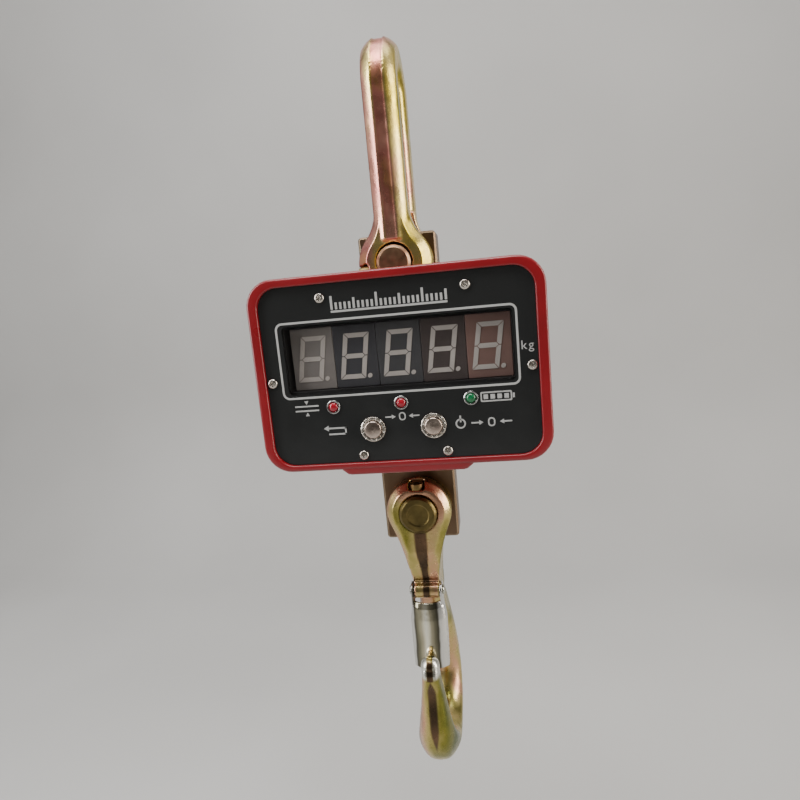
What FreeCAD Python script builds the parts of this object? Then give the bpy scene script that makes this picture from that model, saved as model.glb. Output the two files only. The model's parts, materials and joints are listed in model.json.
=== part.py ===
import FreeCAD, Part
import math
import os

# Crane scale: a load cell block hung from a shackle, with a clevis hook below it and a
# two-shell instrument housing clamped round its middle.
# Millimetres. Origin: the hang point, inside the crown of the shackle. +Z up, -Y to the front,
# +X to the reader's right.

os.makedirs("parts", exist_ok=True)
V = FreeCAD.Vector
X_AXIS = V(1, 0, 0)
Y_AXIS = V(0, 1, 0)
Z_AXIS = V(0, 0, 1)

# ---------------------------------------------------------------- driving dimensions
# clearances
RUN_FIT = 0.05            # radial, a pin or cap that turns or slides in its bore
SEAT_FIT = 0.1            # each side, a piece dropped into its seat
SCREW_FIT = 0.2           # radial, a screw in its hole
SWING_GAP = 1.0           # each side, between a clevis and the load cell
OVERCUT = 1.0             # how far a cutting tool runs past the face it cuts

# load cell block
PIN_TO_PIN = 176.5
CELL_WIDTH = 54.0
CELL_THICK = 24.0
CELL_ABOVE_PIN = 20.0
CELL_BELOW_PIN = 24.5
CELL_EDGE = 1.2
CELL_CORNER = 2.5
GAUGE_POCKET_R = 13.0
GAUGE_POCKET_DEPTH = 6.0
GAUGE_COVER_THICK = 2.0
GAUGE_COVER_RIM = 2.0
GAUGE_THICK = 0.4
GAUGE_HALF_X = 3.0
GAUGE_HALF_Z = 2.5
GAUGE_STEP = 7.0          # from the pocket's middle to each gauge
WIRE_HOLE_R = 2.5
LEAD_R = 2.0

# shackle
HANG_TO_PIN = 125.0
LIMB_WIDTH = 23.0
LIMB_THICK = 22.0
LIMB_STRIP = 8.0
LIMB_STRIP_SUNK = 0.7
LIMB_BEVEL_DEPTH = 6.0
LIMB_INNER_ROUND = 7.0
EAR_RADIUS = 24.9
EAR_THICK = 20.0
EAR_BEVEL = 6.4
EAR_BLEND = 30.0
EAR_FLAT_TOP = 14.8       # height over the pin where the limb stands proud of the ear's face
SHACKLE_PIN_R = 11.35
SHACKLE_HOLE_PLAY = 0.9   # radial play of the pin in the shackle's ears
PIN_PROUD = 3.5
PIN_CHAMFER = 1.8

# hook
HOOK_EAR_RADIUS = 23.5
HOOK_EAR_THICK = 15.5
HOOK_EAR_BEVEL = 5.0
HOOK_EAR_BLEND = 150.0
HOOK_PIN_R = 13.5
CROTCH_DEPTH = 41.0       # below the hook's pin
NECK_HALF = 9.4
NECK_LENGTH = 78.0        # from the pin to the end of the straight neck
BOWL_RADIUS = 29.0
BOWL_DROP = 156.0         # from the hook's pin to the bowl's centre
BOWL_BOTTOM = 27.0        # radial thickness under the load
BOWL_HALF_IN = 16.5       # half width at the bowl's inner side
BOWL_HALF_OUT = 10.0      # half width at its outer side
TIP_RISE = 43.0           # tip ball's centre above the bowl's centre
TIP_RADIUS = 7.0
TIP_REACH = 9.5            # tip ball's centre beyond the bowl's inner side
NECK_FRONT = 17.5          # the neck's front face from the pin's plane
# half of a hook section: x as shares of the inner and outer half width, then the share of
# half the thickness, from the inner side to the outer
HOOK_SECTION = (
    (0.0, 0.0, -1.0),
    (0.62, 0.0, -0.93),
    (0.96, 0.0, -0.55),
    (0.94, 0.0, -0.05),
    (0.46, 0.46, 0.45),
    (0.0, 0.72, 0.88),
    (0.0, 0.0, 1.0),
)
# the back of the hook: distance behind the pin's plane, drop below the pin, turn in degrees
# from +Y towards -Z, thickness, half width at the inner side, half width at the outer side
SPINE_STATIONS = (
    (5, 50, 0, 34, NECK_HALF, NECK_HALF),
    (7, 66, 3, 33, NECK_HALF, NECK_HALF),
    (16, 86, -24, 31, 10.5, 9.6),
    (30, 106, -27, 31, 13, 9.8),
    (40, 131, -16, 31, 15, 10),
)
# round the bowl: angle from the rear going down, thickness, both half widths, and how far the
# section stands away from the bowl's round
BOWL_STATIONS = (
    (2, 32, 16, 10, 0),
    (30, 32, BOWL_HALF_IN, BOWL_HALF_OUT, 0),
    (60, 30, BOWL_HALF_IN, BOWL_HALF_OUT, 0),
    (90, BOWL_BOTTOM, BOWL_HALF_IN, BOWL_HALF_OUT, 0),
    (118, 24, BOWL_HALF_IN, BOWL_HALF_OUT, 0),
    (146, 21, 15, 10.5, 0),
    (172, 18, 12.5, 9.8, 0),
    (196, 15.5, 10.2, 8.8, 1.5),
)
# the tip: drop below the tip ball's centre, turn, thickness and both half widths
TIP_STATIONS = (
    (14, 186, 14, 7.8, 7.2),
    (0, 180, 13, 6.6, 6.2),
)

# lock screws of both pins
LOCK_R = 3.0
LOCK_HEAD_R = 5.0
LOCK_HEAD_H = 7.0         # the shackle's
LOCK_LOW_HEAD_H = 4.2     # the hook's, sunk below its ear's crown
LOCK_HEX_R = 2.9
LOCK_HEX_DEPTH = 3.0
LOCK_SEAT = 17.2          # head seat's distance from the pin's axis
LOCK_BITE = 2.5           # how far its tip stands into the pin
LOCK_NOTCH = 11.4         # width of the notch round the head
SHACKLE_LOCK_ANGLE = 195.0
HOOK_LOCK_ANGLE = 90.0

# safety latch
LATCH_PIN_DROP = 64.0     # below the hook's pin
LATCH_PIN_Y = -17.5
LATCH_PIN_R = 2.5
LATCH_PIN_HEAD_R = 3.6
LATCH_PIN_HEAD_T = 1.4
LATCH_LUG_R = 6.0
LATCH_SHEET = 1.8
LATCH_EAR_HALF = 11.7
LATCH_WIDTH = 27.0
LATCH_LENGTH = 57.0
LATCH_EAR_R = 6.5
LATCH_WEB_START = 9.0     # below its pin
LATCH_LEAN = -0.116        # towards the front for each millimetre down
LATCH_BEND = 0.45         # share of the half width that the corner bend takes
LATCH_STATIONS = (
    # drop below the pin, width, depth in front of the pin's line, depth behind it
    (LATCH_WEB_START - 2, 2 * LATCH_EAR_HALF, 7.5, 5.0),
    (LATCH_WEB_START + 2, 2 * LATCH_EAR_HALF + 0.6, 8.5, 5.0),
    (20.0, LATCH_WIDTH, 8.8, 4.5),
    (38.0, LATCH_WIDTH, 8.6, 3.5),
    (LATCH_LENGTH, LATCH_WIDTH - 1.0, 7.6, 2.0),
)
WIRE_SIDES = 8             # flats rolled round a spring's wire
LATCH_SPRING_WIRE = 1.2
LATCH_SPRING_TURNS = 3
SPRING_PACKING = 1.08      # pitch of a close winding, in wire thicknesses

# housing
CASE_WIDTH = 189.5
CASE_HEIGHT = 127.6
CASE_CORNER = 18.0
CASE_DROP = 67.8          # from the shackle's pin to the housing's middle
RIM_Y = -62.0
SPLIT_HALF = 0.5          # half the shell gasket's thickness
REAR_Y = 66.0
SPLIT_SHRINK_X = 20.0
SPLIT_SHRINK_Z = 12.0
REAR_SHRINK_X = 40.0
REAR_SHRINK_Z = 22.0
WALL = 3.2
RIM_ROUND = 2.0
RIM_FLAT_SHARE = 0.8      # the rim's rounding as shares of its radius: how far the face
RIM_SIDE_SHARE = 0.3      # stands in, how far the middle does,
RIM_TURN_SHARE = 0.2      # and how deep the middle lies
PANEL_SUNK = 2.5
PANEL_MARGIN_X = 7.25
PANEL_MARGIN_TOP = 6.0
PANEL_MARGIN_LOW = 4.6
PANEL_THICK = 2.0
PANEL_CORNER = 13.5
GASKET_THICK = 1.0
LEDGE_WIDTH = 5.0
LEDGE_DEPTH = 6.0
CHIN_HALF = 44.0
CHIN_SLOPE = 6.0
CHIN_DROP = 3.7
CHIN_PAST_CELL = 8.0       # how far it runs behind the load cell's way out
WELL_HALF_X = 31.0
WELL_HALF_Y = 38.0
WELL_DEPTH = 28.5         # well floor below the shackle's pin
SEAL_WALL = 2.4
SEAL_FLANGE = 1.4
SEAL_FLANGE_Y = 2.6
SEAL_THICK = 1.8
SHELL_BOSS_X = 64.0
SHELL_BOSS_Z = 42.0
SHELL_BOSS_R = 5.5
SHELL_BOSS_REACH = 22.0
SHELL_SEAT_DEPTH = 14.0    # a shell screw's seat behind the split
SHELL_SCREW_R = 2.0
SHELL_SCREW_HEAD_R = 3.9
SHELL_SCREW_HEAD_H = 3.0
SHELL_DRIVE = (2.4, 1.6)   # half width and depth of a cross recess
RIB_THICK = 4.0

# display and controls, placed from the middle of the printed frame
DISPLAY_DROP = 57.5       # below the shackle's pin
WINDOW_WIDTH = 147.0
WINDOW_HEIGHT = 45.0
WINDOW_CORNER = 3.0
DIGIT_COUNT = 5
DIGIT_PITCH = 28.6
DIGIT_GAP = 0.2
DIGIT_HEIGHT = 40.6
DIGIT_DEPTH = 11.0
DIGIT_SUNK = 6.0          # module's face behind the panel's face
DIGIT_SHIFT = 1.0
SHROUD_WALL = 2.0
BOARD_THICK = 1.6
BOARD_HALF_X = 81.0
BOARD_TOP = 24.0
BOARD_LOW = 37.0
STUD_R = 3.0
STUD_X = 78.0
STUD_TOP = 19.5
STUD_LOW = 32.5
STUD_END = 3.0             # of its thread behind the board
STUD_NUT_AF = 5.5
STUD_NUT_T = 2.4
PANEL_SCREWS = ((45.9, 38.8), (83.6, -13.5), (27.6, -65.0))
PANEL_SCREW_R = 1.5
PANEL_SCREW_HEAD_R = 3.2
PANEL_SCREW_HEAD_H = 1.6
PANEL_SCREW_DOME = 0.96    # rounding of the head's rim
PANEL_SCREW_LENGTH = 9.0
PANEL_DRIVE = (1.9, 1.1)
PANEL_BOSS_R = 4.2
PANEL_BOSS_REACH = 9.0
LED_X = 44.6
LED_DROP = 31.6
LED_R = 3.1
LED_BODY = 3.0             # behind the panel, before the stand
LED_BEZEL_R = 4.3
LED_BEZEL_T = 0.8
LED_STAND_R = 2.4
BUTTON_X = 19.7
BUTTON_DROP = 47.8
BUTTON_BEZEL_R = 8.5
BUTTON_BEZEL_T = 1.8
BUTTON_BEZEL_BEVEL = 0.81
BUTTON_BARREL_R = 7.0
BUTTON_BARREL_L = 16.0
BUTTON_CAP_R = 5.65
BUTTON_CAP_PROUD = 1.2
BUTTON_DOME = 1.0
BUTTON_TRAVEL = 1.5
BUTTON_SKIRT = 5.0
BUTTON_STEM_R = 1.8
BUTTON_SPRING_ROOM = 6.0   # behind the cap at rest
BUTTON_SPRING_R = 3.6
BUTTON_SPRING_WIRE = 1.2
BUTTON_SPRING_TURNS = 2
BUTTON_NUT_AF = 17.0
BUTTON_NUT_T = 3.0

# boards, battery and sockets inside
MAIN_BOARD_GAP = 11.0
MAIN_BOARD_X = 64.0
MAIN_BOARD_Z = 32.0
MAIN_BOARD_LOWERED = 8.0   # its middle below the display's
SPACER_MARGIN = 5.0
SPACER_Z = 22.0
SPACER_END = 2.0
CHIPS = (
    # middle across, middle up, width, height, thickness
    (-30.0, 10.0, 14.0, 14.0, 2.2),
    (12.0, -4.0, 18.0, 8.0, 2.4),
    (-44.0, -22.0, 10.0, 22.0, 6.0),
)
BATTERY_X = 101.0
BATTERY_Y = 47.0
BATTERY_Z = 70.0
BATTERY_FROM_CELL = 3.0
BATTERY_DROP = 37.5       # battery's top below the shackle's pin
TRAY_THICK = 1.5
TRAY_LIP = 12.0
PAD_HALF_X = 8.0
PAD_MARGIN = 2.0
COVER_THICK = 2.5
COVER_MARGIN_X = 5.0
COVER_MARGIN_Z = 11.0
COVER_CORNER = 5.0
COVER_HOLE_X = 36.0
COVER_SCREW_R = 1.9
COVER_SCREW_HEAD_R = 3.6
COVER_SCREW_LENGTH = 9.0
COVER_DRIVE = (1.9, 1.2)
BRACKET_RAISED = 20.0      # above the load cell's middle
BRACKET_CLEAR = 2.5        # in front of the split
BRACKET_END_MARGIN = 6.0
BRACKET_BOSS_R = 4.5
BRACKET_THICK = 3.0
BRACKET_HEIGHT = 44.0
BRACKET_REACH = 32.0
BRACKET_SCREW_R = 2.5
BRACKET_SCREW_HEAD_R = 4.2
BRACKET_SCREW_HEAD_H = 3.0
BRACKET_DRIVE = (2.0, 2.0)  # radius and depth
BRACKET_SCREW_LENGTH = 11.0
BRACKET_HOLE_STEP = 26.0
SOCKET_X = 50.0
SOCKET_Y = 34.0
SOCKET_R = 6.0
SOCKET_FLANGE_R = 8.0
SOCKET_BORE_R = 2.8
SOCKET_FLANGE_T = 1.5
SOCKET_NUT_AF = 14.0
SOCKET_NUT_T = 2.5
SOCKET_LENGTH = 12.0
SOCKET_RAISED = 9.2      # its seat above the lowest line of the housing

# ---------------------------------------------------------------- places worked out from them
CELL_HALF_X = CELL_WIDTH / 2
CELL_HALF_Y = CELL_THICK / 2
TOP_PIN = V(0, 0, -HANG_TO_PIN)
LOW_PIN = TOP_PIN - V(0, 0, PIN_TO_PIN)
CELL_TOP = TOP_PIN.z + CELL_ABOVE_PIN
CELL_LOW = LOW_PIN.z - CELL_BELOW_PIN
EAR_IN = CELL_HALF_Y + SWING_GAP
EAR_OUT = EAR_IN + EAR_THICK
HOOK_EAR_OUT = EAR_IN + HOOK_EAR_THICK
CASE_Z = TOP_PIN.z - CASE_DROP
CASE_TOP = CASE_Z + CASE_HEIGHT / 2
CASE_LOW = CASE_Z - CASE_HEIGHT / 2
CHIN_LOW = CASE_LOW - CHIN_DROP
WELL_FLOOR = TOP_PIN.z - WELL_DEPTH
PANEL_FRONT = RIM_Y + PANEL_SUNK
PANEL_BACK = PANEL_FRONT + PANEL_THICK
LEDGE_Y = PANEL_BACK + GASKET_THICK
PANEL_WIDTH = CASE_WIDTH - 2 * PANEL_MARGIN_X
PANEL_HEIGHT = CASE_HEIGHT - PANEL_MARGIN_TOP - PANEL_MARGIN_LOW
PANEL_Z = CASE_Z + (PANEL_MARGIN_LOW - PANEL_MARGIN_TOP) / 2
DISPLAY_Z = TOP_PIN.z - DISPLAY_DROP
DIGIT_FACE = PANEL_FRONT + DIGIT_SUNK
BOARD_Y = DIGIT_FACE + DIGIT_DEPTH
MAIN_BOARD_Y = BOARD_Y + BOARD_THICK + MAIN_BOARD_GAP
LATCH_PIN_AT = V(0, LATCH_PIN_Y, LOW_PIN.z - LATCH_PIN_DROP)
BOWL_AT = V(0, 0, LOW_PIN.z - BOWL_DROP)
SLOT_HALF_X = CELL_HALF_X + SEAL_WALL
SLOT_HALF_Y = CELL_HALF_Y + SEAL_WALL
BATTERY_FRONT = CELL_HALF_Y + BATTERY_FROM_CELL
BATTERY_TOP = TOP_PIN.z - BATTERY_DROP

GAUGE_AT = V(0, 0, (TOP_PIN.z + LOW_PIN.z) / 2)
BRACKET_Z = GAUGE_AT.z + BRACKET_RAISED
BRACKET_HOLE_Y = (CELL_HALF_Y - CELL_CORNER - CELL_HALF_Y / 4) / 2
LEAD_AT = V(GAUGE_POCKET_R / 2, -CELL_HALF_Y, GAUGE_AT.z)
TIP_OUT = BOWL_RADIUS + TIP_REACH
SPRING_PITCH = LATCH_SPRING_WIRE * SPRING_PACKING
SPRING_R = LATCH_PIN_R + LATCH_SPRING_WIRE / 2 + 2 * SEAT_FIT
SPRING_POCKET = SPRING_PITCH * LATCH_SPRING_TURNS + LATCH_SPRING_WIRE + 3 * SEAT_FIT
SPRING_POCKET_R = SPRING_R + LATCH_SPRING_WIRE / 2 + 2 * SEAT_FIT
CHIN_BACK = SLOT_HALF_Y + CHIN_PAST_CELL
SHELL_BOSSES = [(sx * SHELL_BOSS_X, CASE_Z + sz * SHELL_BOSS_Z) for sx in (-1, 1) for sz in (-1, 1)]
PANEL_HOLES = [(side * x, DISPLAY_Z + z) for x, z in PANEL_SCREWS for side in (-1, 1)]
BRACKET_BOSS_X = CELL_HALF_X + BRACKET_REACH - BRACKET_END_MARGIN
BRACKET_Y = -SPLIT_HALF - BRACKET_CLEAR
SOCKET_AT = V(SOCKET_X, SOCKET_Y, 0)
COVER_WIDTH = BATTERY_X + 2 * COVER_MARGIN_X
COVER_HEIGHT = BATTERY_Z + 2 * COVER_MARGIN_Z
BATTERY_MID = BATTERY_TOP - BATTERY_Z / 2
COVER_HOLES = [
    (sx * COVER_HOLE_X, BATTERY_MID + sz * (COVER_HEIGHT / 2 - COVER_SCREW_HEAD_R - OVERCUT))
    for sx in (-1, 1) for sz in (-1, 1)
]
SOCKET_FACE = CASE_LOW + SOCKET_RAISED
SHELL_SEAT_Y = SPLIT_HALF + SHELL_SEAT_DEPTH
BUTTONS = {"left": -BUTTON_X, "right": BUTTON_X}
BUTTON_Z = DISPLAY_Z - BUTTON_DROP
LEDS = {"led_steady": -LED_X, "led_tare": 0.0, "led_charge": LED_X}
LED_Z = DISPLAY_Z - LED_DROP
SEAT_FLOOR_R = PANEL_SCREW_R + SCREW_FIT
MAIN_Z = DISPLAY_Z - MAIN_BOARD_LOWERED
SPACER_PLACES = [
    (sx * (MAIN_BOARD_X - SPACER_MARGIN), MAIN_Z + sz * SPACER_Z) for sx in (-1, 1) for sz in (-1, 1)
]
BUTTON_FACE = PANEL_FRONT - BUTTON_BEZEL_T
CAP_FACE = BUTTON_FACE - BUTTON_CAP_PROUD
CAP_BACK = CAP_FACE + BUTTON_SKIRT
SPRING_SEAT = CAP_BACK + BUTTON_SPRING_ROOM
BUTTON_BACK = PANEL_FRONT + BUTTON_BARREL_L
BATTERY_BACK = BATTERY_FRONT + BATTERY_Y
COVER_SEAT = REAR_Y


# ---------------------------------------------------------------- shape helpers
def block(x, y, z):
    """A box from its three ranges."""
    return Part.makeBox(x[1] - x[0], y[1] - y[0], z[1] - z[0], V(x[0], y[0], z[0]))


def rod(radius, start, end):
    """A cylinder between two points."""
    return Part.makeCylinder(radius, (end - start).Length, start, end - start)


def taper(radius_start, radius_end, start, end):
    """A cone between two points."""
    return Part.makeCone(radius_start, radius_end, (end - start).Length, start, end - start)


def span(middle, half):
    """The range that lies half either side of a middle."""
    return (middle - half, middle + half)


def joined(shapes):
    """One shape fused from several, with the seams between them removed."""
    whole = shapes[0]
    for shape in shapes[1:]:
        whole = whole.fuse(shape)
    return whole.removeSplitter()


def hexagon(across_flats, start, end):
    """A hexagonal bar between two points that lie on a line along an axis."""
    axis = (end - start).normalize()
    side = Z_AXIS.cross(axis)
    if side.Length < 0.5:
        side = V(1, 0, 0)
    side.normalize()
    up = axis.cross(side)
    reach = across_flats / math.sqrt(3)
    corners = []
    for i in range(6):
        turn = math.radians(60 * i)
        corners.append(start + side * (reach * math.cos(turn)) + up * (reach * math.sin(turn)))
    face = Part.Face(Part.makePolygon(corners + corners[:1]))
    return face.extrude(end - start)


def rounded_rectangle(width, height, corner, y, z):
    """A closed wire in the plane across Y, centred on X = 0."""
    a = width / 2
    b = height / 2
    k = corner * (1 - math.sqrt(0.5))
    edges = []
    for sx, sz in ((1, 1), (1, -1), (-1, -1), (-1, 1)):
        side = V(sx * a, y, z + sz * (b - corner))
        middle = V(sx * (a - k), y, z + sz * (b - k))
        top = V(sx * (a - corner), y, z + sz * b)
        if sx * sz > 0:
            edges.append(Part.Arc(top, middle, side).toShape())
        else:
            edges.append(Part.Arc(side, middle, top).toShape())
    wire = []
    for i, arc in enumerate(edges):
        wire.append(arc)
        following = edges[(i + 1) % len(edges)]
        wire.append(Part.makeLine(arc.Vertexes[-1].Point, following.Vertexes[0].Point))
    return Part.Wire(wire)


def plate(width, height, corner, y, z):
    """A rounded plate across Y, over a range of Y."""
    face = Part.Face(rounded_rectangle(width, height, corner, y[0], z))
    return face.extrude(V(0, y[1] - y[0], 0))


def drafted(sections):
    """A solid through rounded rectangles, with straight sides between them."""
    return Part.makeLoft([rounded_rectangle(*s) for s in sections], True, True)


def in_plane(points_and_arcs, place):
    """A closed wire from 2-D points; a triple of points is an arc. place turns 2-D into 3-D."""
    edges = []
    for item in points_and_arcs:
        if len(item) == 3:
            edges.append(Part.Arc(*[place(*p) for p in item]).toShape())
        else:
            edges.append(Part.makeLine(place(*item[0]), place(*item[1])))
    return Part.Wire(edges)


def screw(start, axis, shank_r, length, head_r, head_h, drive_r=0.0, drive_depth=0.0):
    """A screw whose head seat is at start; axis points from the seat to the tip."""
    tip = start + axis * length
    body = rod(shank_r, start, tip).fuse(rod(head_r, start - axis * head_h, start))
    if drive_r > 0:
        top = start - axis * head_h
        body = body.cut(hexagon(drive_r * math.sqrt(3), top, top + axis * drive_depth))
    return body


def cross_recess(at, axis, size, depth):
    """The cutting shape of a cross drive in a head whose top is at a point, driven along Y."""
    y = sorted((at.y - axis.y, at.y + axis.y * depth))
    wide = block(span(at.x, size), y, span(at.z, size / 4))
    tall = block(span(at.x, size / 4), y, span(at.z, size))
    return wide.fuse(tall)


def coil(radius, wire_r, pitch, turns, base, axis):
    """A helical spring standing on base along an axis."""
    path = Part.makeHelix(pitch, pitch * turns, radius)
    turns_of_side = [math.radians(360 * side / WIRE_SIDES) for side in range(WIRE_SIDES + 1)]
    ring = Part.makePolygon(
        [V(radius + wire_r * math.cos(t), 0, wire_r * math.sin(t)) for t in turns_of_side]
    )
    spring = Part.Wire(path).makePipeShell([ring], True, True)
    spring.Placement = FreeCAD.Placement(base, FreeCAD.Rotation(Z_AXIS, axis))
    return spring


def save(name, *shapes):
    """Writes one sub-part; several separate solids share its file."""
    whole = shapes[0] if len(shapes) == 1 else Part.makeCompound(list(shapes))
    whole.exportStep("parts/" + name + ".step")
    print(f"{name:24s} solids {len(whole.Solids)}  {whole.Volume / 1000:8.2f} cm3  {whole.isValid()}")


def both_sides(make):
    """The left and the right piece of a pair, from a function of the side."""
    return [make(side) for side in (-1, 1)]


# ---------------------------------------------------------------- clevis ears of both forgings
def neck_blend(ear_r, half_width, blend):
    """Where a concave blend leaves a round ear and meets a straight neck, above the pin."""
    reach = math.sqrt((ear_r + blend) ** 2 - (half_width + blend) ** 2)
    share = ear_r / (ear_r + blend)
    leave = ((half_width + blend) * share, reach * share)
    centre = (half_width + blend, reach)
    turn = math.atan2(leave[1] - centre[1], leave[0] - centre[0])
    middle = (turn - math.pi) / 2 if turn > 0 else (turn + 2 * math.pi + math.pi) / 2
    halfway = (centre[0] + blend * math.cos(middle), centre[1] + blend * math.sin(middle))
    return leave, halfway, (half_width, reach)


def ear_outline(ear_r, half_width, blend, neck, pin, y, up):
    """The outline of a clevis ear across Y: round at the pin, with a neck of a given length."""
    leave, halfway, meet = neck_blend(ear_r, half_width, blend)
    top = max(neck, meet[1] + OVERCUT)

    def place(x, z):
        return V(x, y, pin.z + up * z)

    def mirrored(point):
        return (-point[0], point[1])

    return in_plane(
        [
            (leave, halfway, meet),
            (meet, (half_width, top)),
            ((half_width, top), (-half_width, top)),
            ((-half_width, top), mirrored(meet)),
            (mirrored(meet), mirrored(halfway), mirrored(leave)),
            (mirrored(leave), (0, -ear_r), leave),
        ],
        place,
    )


def ear(side, outer_y, ear_r, half_width, blend, bevel, neck, pin, up):
    """One bevelled ear; side is -1 for the front ear and 1 for the rear one."""
    rings = []
    for y, cut in ((EAR_IN, 0.0), (outer_y - bevel, 0.0), (outer_y, bevel)):
        narrow = half_width - min(cut, half_width / 3)
        rings.append(ear_outline(ear_r - cut, narrow, blend, neck, pin, side * y, up))
    straight = Part.makeLoft(rings[:2], True, True)
    bevelled = Part.makeLoft(rings[1:], True, True)
    return straight.fuse(bevelled)


def lock_line(pin, angle, ear_out):
    """The lock screw's direction outwards, its head seat and the point where it bites the pin."""
    outwards = V(math.cos(math.radians(angle)), 0, math.sin(math.radians(angle)))
    middle = V(0, -ear_out + LOCK_NOTCH / 2, pin.z)
    return outwards, middle + outwards * LOCK_SEAT, middle


def lock_notch(pin, angle, ear_out, ear_r):
    """The notch round a lock screw's head, open to the front, and the screw's hole."""
    outwards, seat, middle = lock_line(pin, angle, ear_out)
    depth = ear_r - LOCK_SEAT + 2 * OVERCUT
    notch = Part.makeBox(depth, LOCK_NOTCH + OVERCUT, LOCK_NOTCH)
    notch.translate(V(LOCK_SEAT, -LOCK_NOTCH / 2 - OVERCUT, -LOCK_NOTCH / 2))
    notch.rotate(V(0, 0, 0), Y_AXIS, -angle)
    notch.translate(middle)
    return notch.fuse(rod(LOCK_R + SCREW_FIT, middle, seat + outwards * OVERCUT))


def lock_screw(pin, pin_r, angle, ear_out, head_h):
    """A socket-head screw that stops a pin from turning and sliding."""
    outwards, seat, middle = lock_line(pin, angle, ear_out)
    length = LOCK_SEAT - pin_r + LOCK_BITE
    return screw(
        seat, outwards * -1, LOCK_R, length, LOCK_HEAD_R, head_h, LOCK_HEX_R, LOCK_HEX_DEPTH
    )


def train_pin(pin, radius, half_length, angle, ear_out):
    """A plain pin along Y with chamfered ends and a blind hole for its lock screw."""
    start = pin - V(0, half_length, 0)
    end = pin + V(0, half_length, 0)
    body = rod(radius, start, end)
    rims = [e for e in body.Edges if e.Closed and abs(abs(e.CenterOfMass.y) - half_length) < 0.01]
    body = body.makeChamfer(PIN_CHAMFER, rims)
    outwards, _, middle = lock_line(pin, angle, ear_out)
    bottom = middle + outwards * (radius - LOCK_BITE - SCREW_FIT)
    return body.cut(rod(LOCK_R + SCREW_FIT, bottom, middle + outwards * (radius + OVERCUT)))


# ---------------------------------------------------------------- shackle
def limb_section():
    """The forged limb's section: x across it, r outwards from its inner face."""
    half = LIMB_WIDTH / 2
    strip = LIMB_STRIP / 2
    trough = strip - LIMB_STRIP_SUNK
    low = LIMB_THICK - LIMB_BEVEL_DEPTH
    bulge = ((half + strip) / 2 + 0.4, (low + LIMB_THICK) / 2 + 0.5)
    r = LIMB_INNER_ROUND
    k = r * (1 - math.sqrt(0.5))
    right = [
        ((0, LIMB_THICK - LIMB_STRIP_SUNK), (trough, LIMB_THICK - LIMB_STRIP_SUNK)),
        ((trough, LIMB_THICK - LIMB_STRIP_SUNK), (strip, LIMB_THICK)),
        ((strip, LIMB_THICK), bulge, (half, low)),
        ((half, low), (half, r)),
        ((half, r), (half - k, k), (half - r, 0)),
        ((half - r, 0), (0, 0)),
    ]
    left = [tuple((-x, d) for x, d in reversed(item)) for item in reversed(right)]
    return right + left


def make_shackle():
    bow_z = -EAR_IN
    pieces = []
    for side in (-1, 1):
        def place(x, r, side=side):
            return V(x, side * (EAR_IN + r), bow_z)

        limb = Part.Face(in_plane(limb_section(), place))
        pieces.append(limb.extrude(V(0, 0, TOP_PIN.z + EAR_FLAT_TOP - bow_z)))
        if side < 0:
            pieces.append(limb.revolve(V(0, 0, bow_z), X_AXIS, -180))
        pieces.append(
            ear(side, EAR_OUT, EAR_RADIUS, LIMB_WIDTH / 2, EAR_BLEND, EAR_BEVEL, 0, TOP_PIN, 1)
        )
    body = joined(pieces)
    hole = TOP_PIN + V(0, 0, SHACKLE_HOLE_PLAY - RUN_FIT)
    reach = V(0, EAR_OUT + OVERCUT, 0)
    body = body.cut(rod(SHACKLE_PIN_R + SHACKLE_HOLE_PLAY, hole - reach, hole + reach))
    return body.cut(lock_notch(TOP_PIN, SHACKLE_LOCK_ANGLE, EAR_OUT, EAR_RADIUS))


save("shackle", make_shackle())
save(
    "shackle_pin",
    train_pin(TOP_PIN, SHACKLE_PIN_R, EAR_OUT + PIN_PROUD, SHACKLE_LOCK_ANGLE, EAR_OUT),
)
save(
    "shackle_lock_screw",
    lock_screw(TOP_PIN, SHACKLE_PIN_R, SHACKLE_LOCK_ANGLE, EAR_OUT, LOCK_HEAD_H),
)


# ---------------------------------------------------------------- load cell


def make_load_cell():
    body = block(span(0, CELL_HALF_X), span(0, CELL_HALF_Y), (CELL_LOW, CELL_TOP))
    upright = [e for e in body.Edges if abs(e.tangentAt(0).y) > 0.9]
    body = body.makeFillet(CELL_CORNER, upright)
    faces = [f for f in body.Faces if abs(abs(f.CenterOfMass.y) - CELL_HALF_Y) < 0.01]
    rims = [e for f in faces for e in f.Edges]
    body = body.makeChamfer(CELL_EDGE, rims)
    reach = V(0, CELL_HALF_Y + OVERCUT, 0)
    body = body.cut(rod(SHACKLE_PIN_R + RUN_FIT, TOP_PIN - reach, TOP_PIN + reach))
    body = body.cut(rod(HOOK_PIN_R + RUN_FIT, LOW_PIN - reach, LOW_PIN + reach))
    for side in (-1, 1):
        face = GAUGE_AT + V(0, side * CELL_HALF_Y, 0)
        floor = face - V(0, side * GAUGE_POCKET_DEPTH, 0)
        seat = face - V(0, side * GAUGE_COVER_THICK, 0)
        body = body.cut(rod(GAUGE_POCKET_R, floor, face + V(0, side, 0)))
        body = body.cut(rod(GAUGE_POCKET_R + GAUGE_COVER_RIM, seat, face + V(0, side, 0)))
        for step in (-1, 1):
            hole = V(side * CELL_HALF_X, BRACKET_HOLE_Y, BRACKET_Z + step * BRACKET_HOLE_STEP / 2)
            depth = V(side * (BRACKET_SCREW_LENGTH - BRACKET_THICK + OVERCUT), 0, 0)
            body = body.cut(rod(BRACKET_SCREW_R + SCREW_FIT, hole - depth, hole + depth))
    wire_way = V(0, CELL_HALF_Y - GAUGE_POCKET_DEPTH + OVERCUT, 0)
    return body.cut(rod(WIRE_HOLE_R, GAUGE_AT - wire_way, GAUGE_AT + wire_way))


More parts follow.
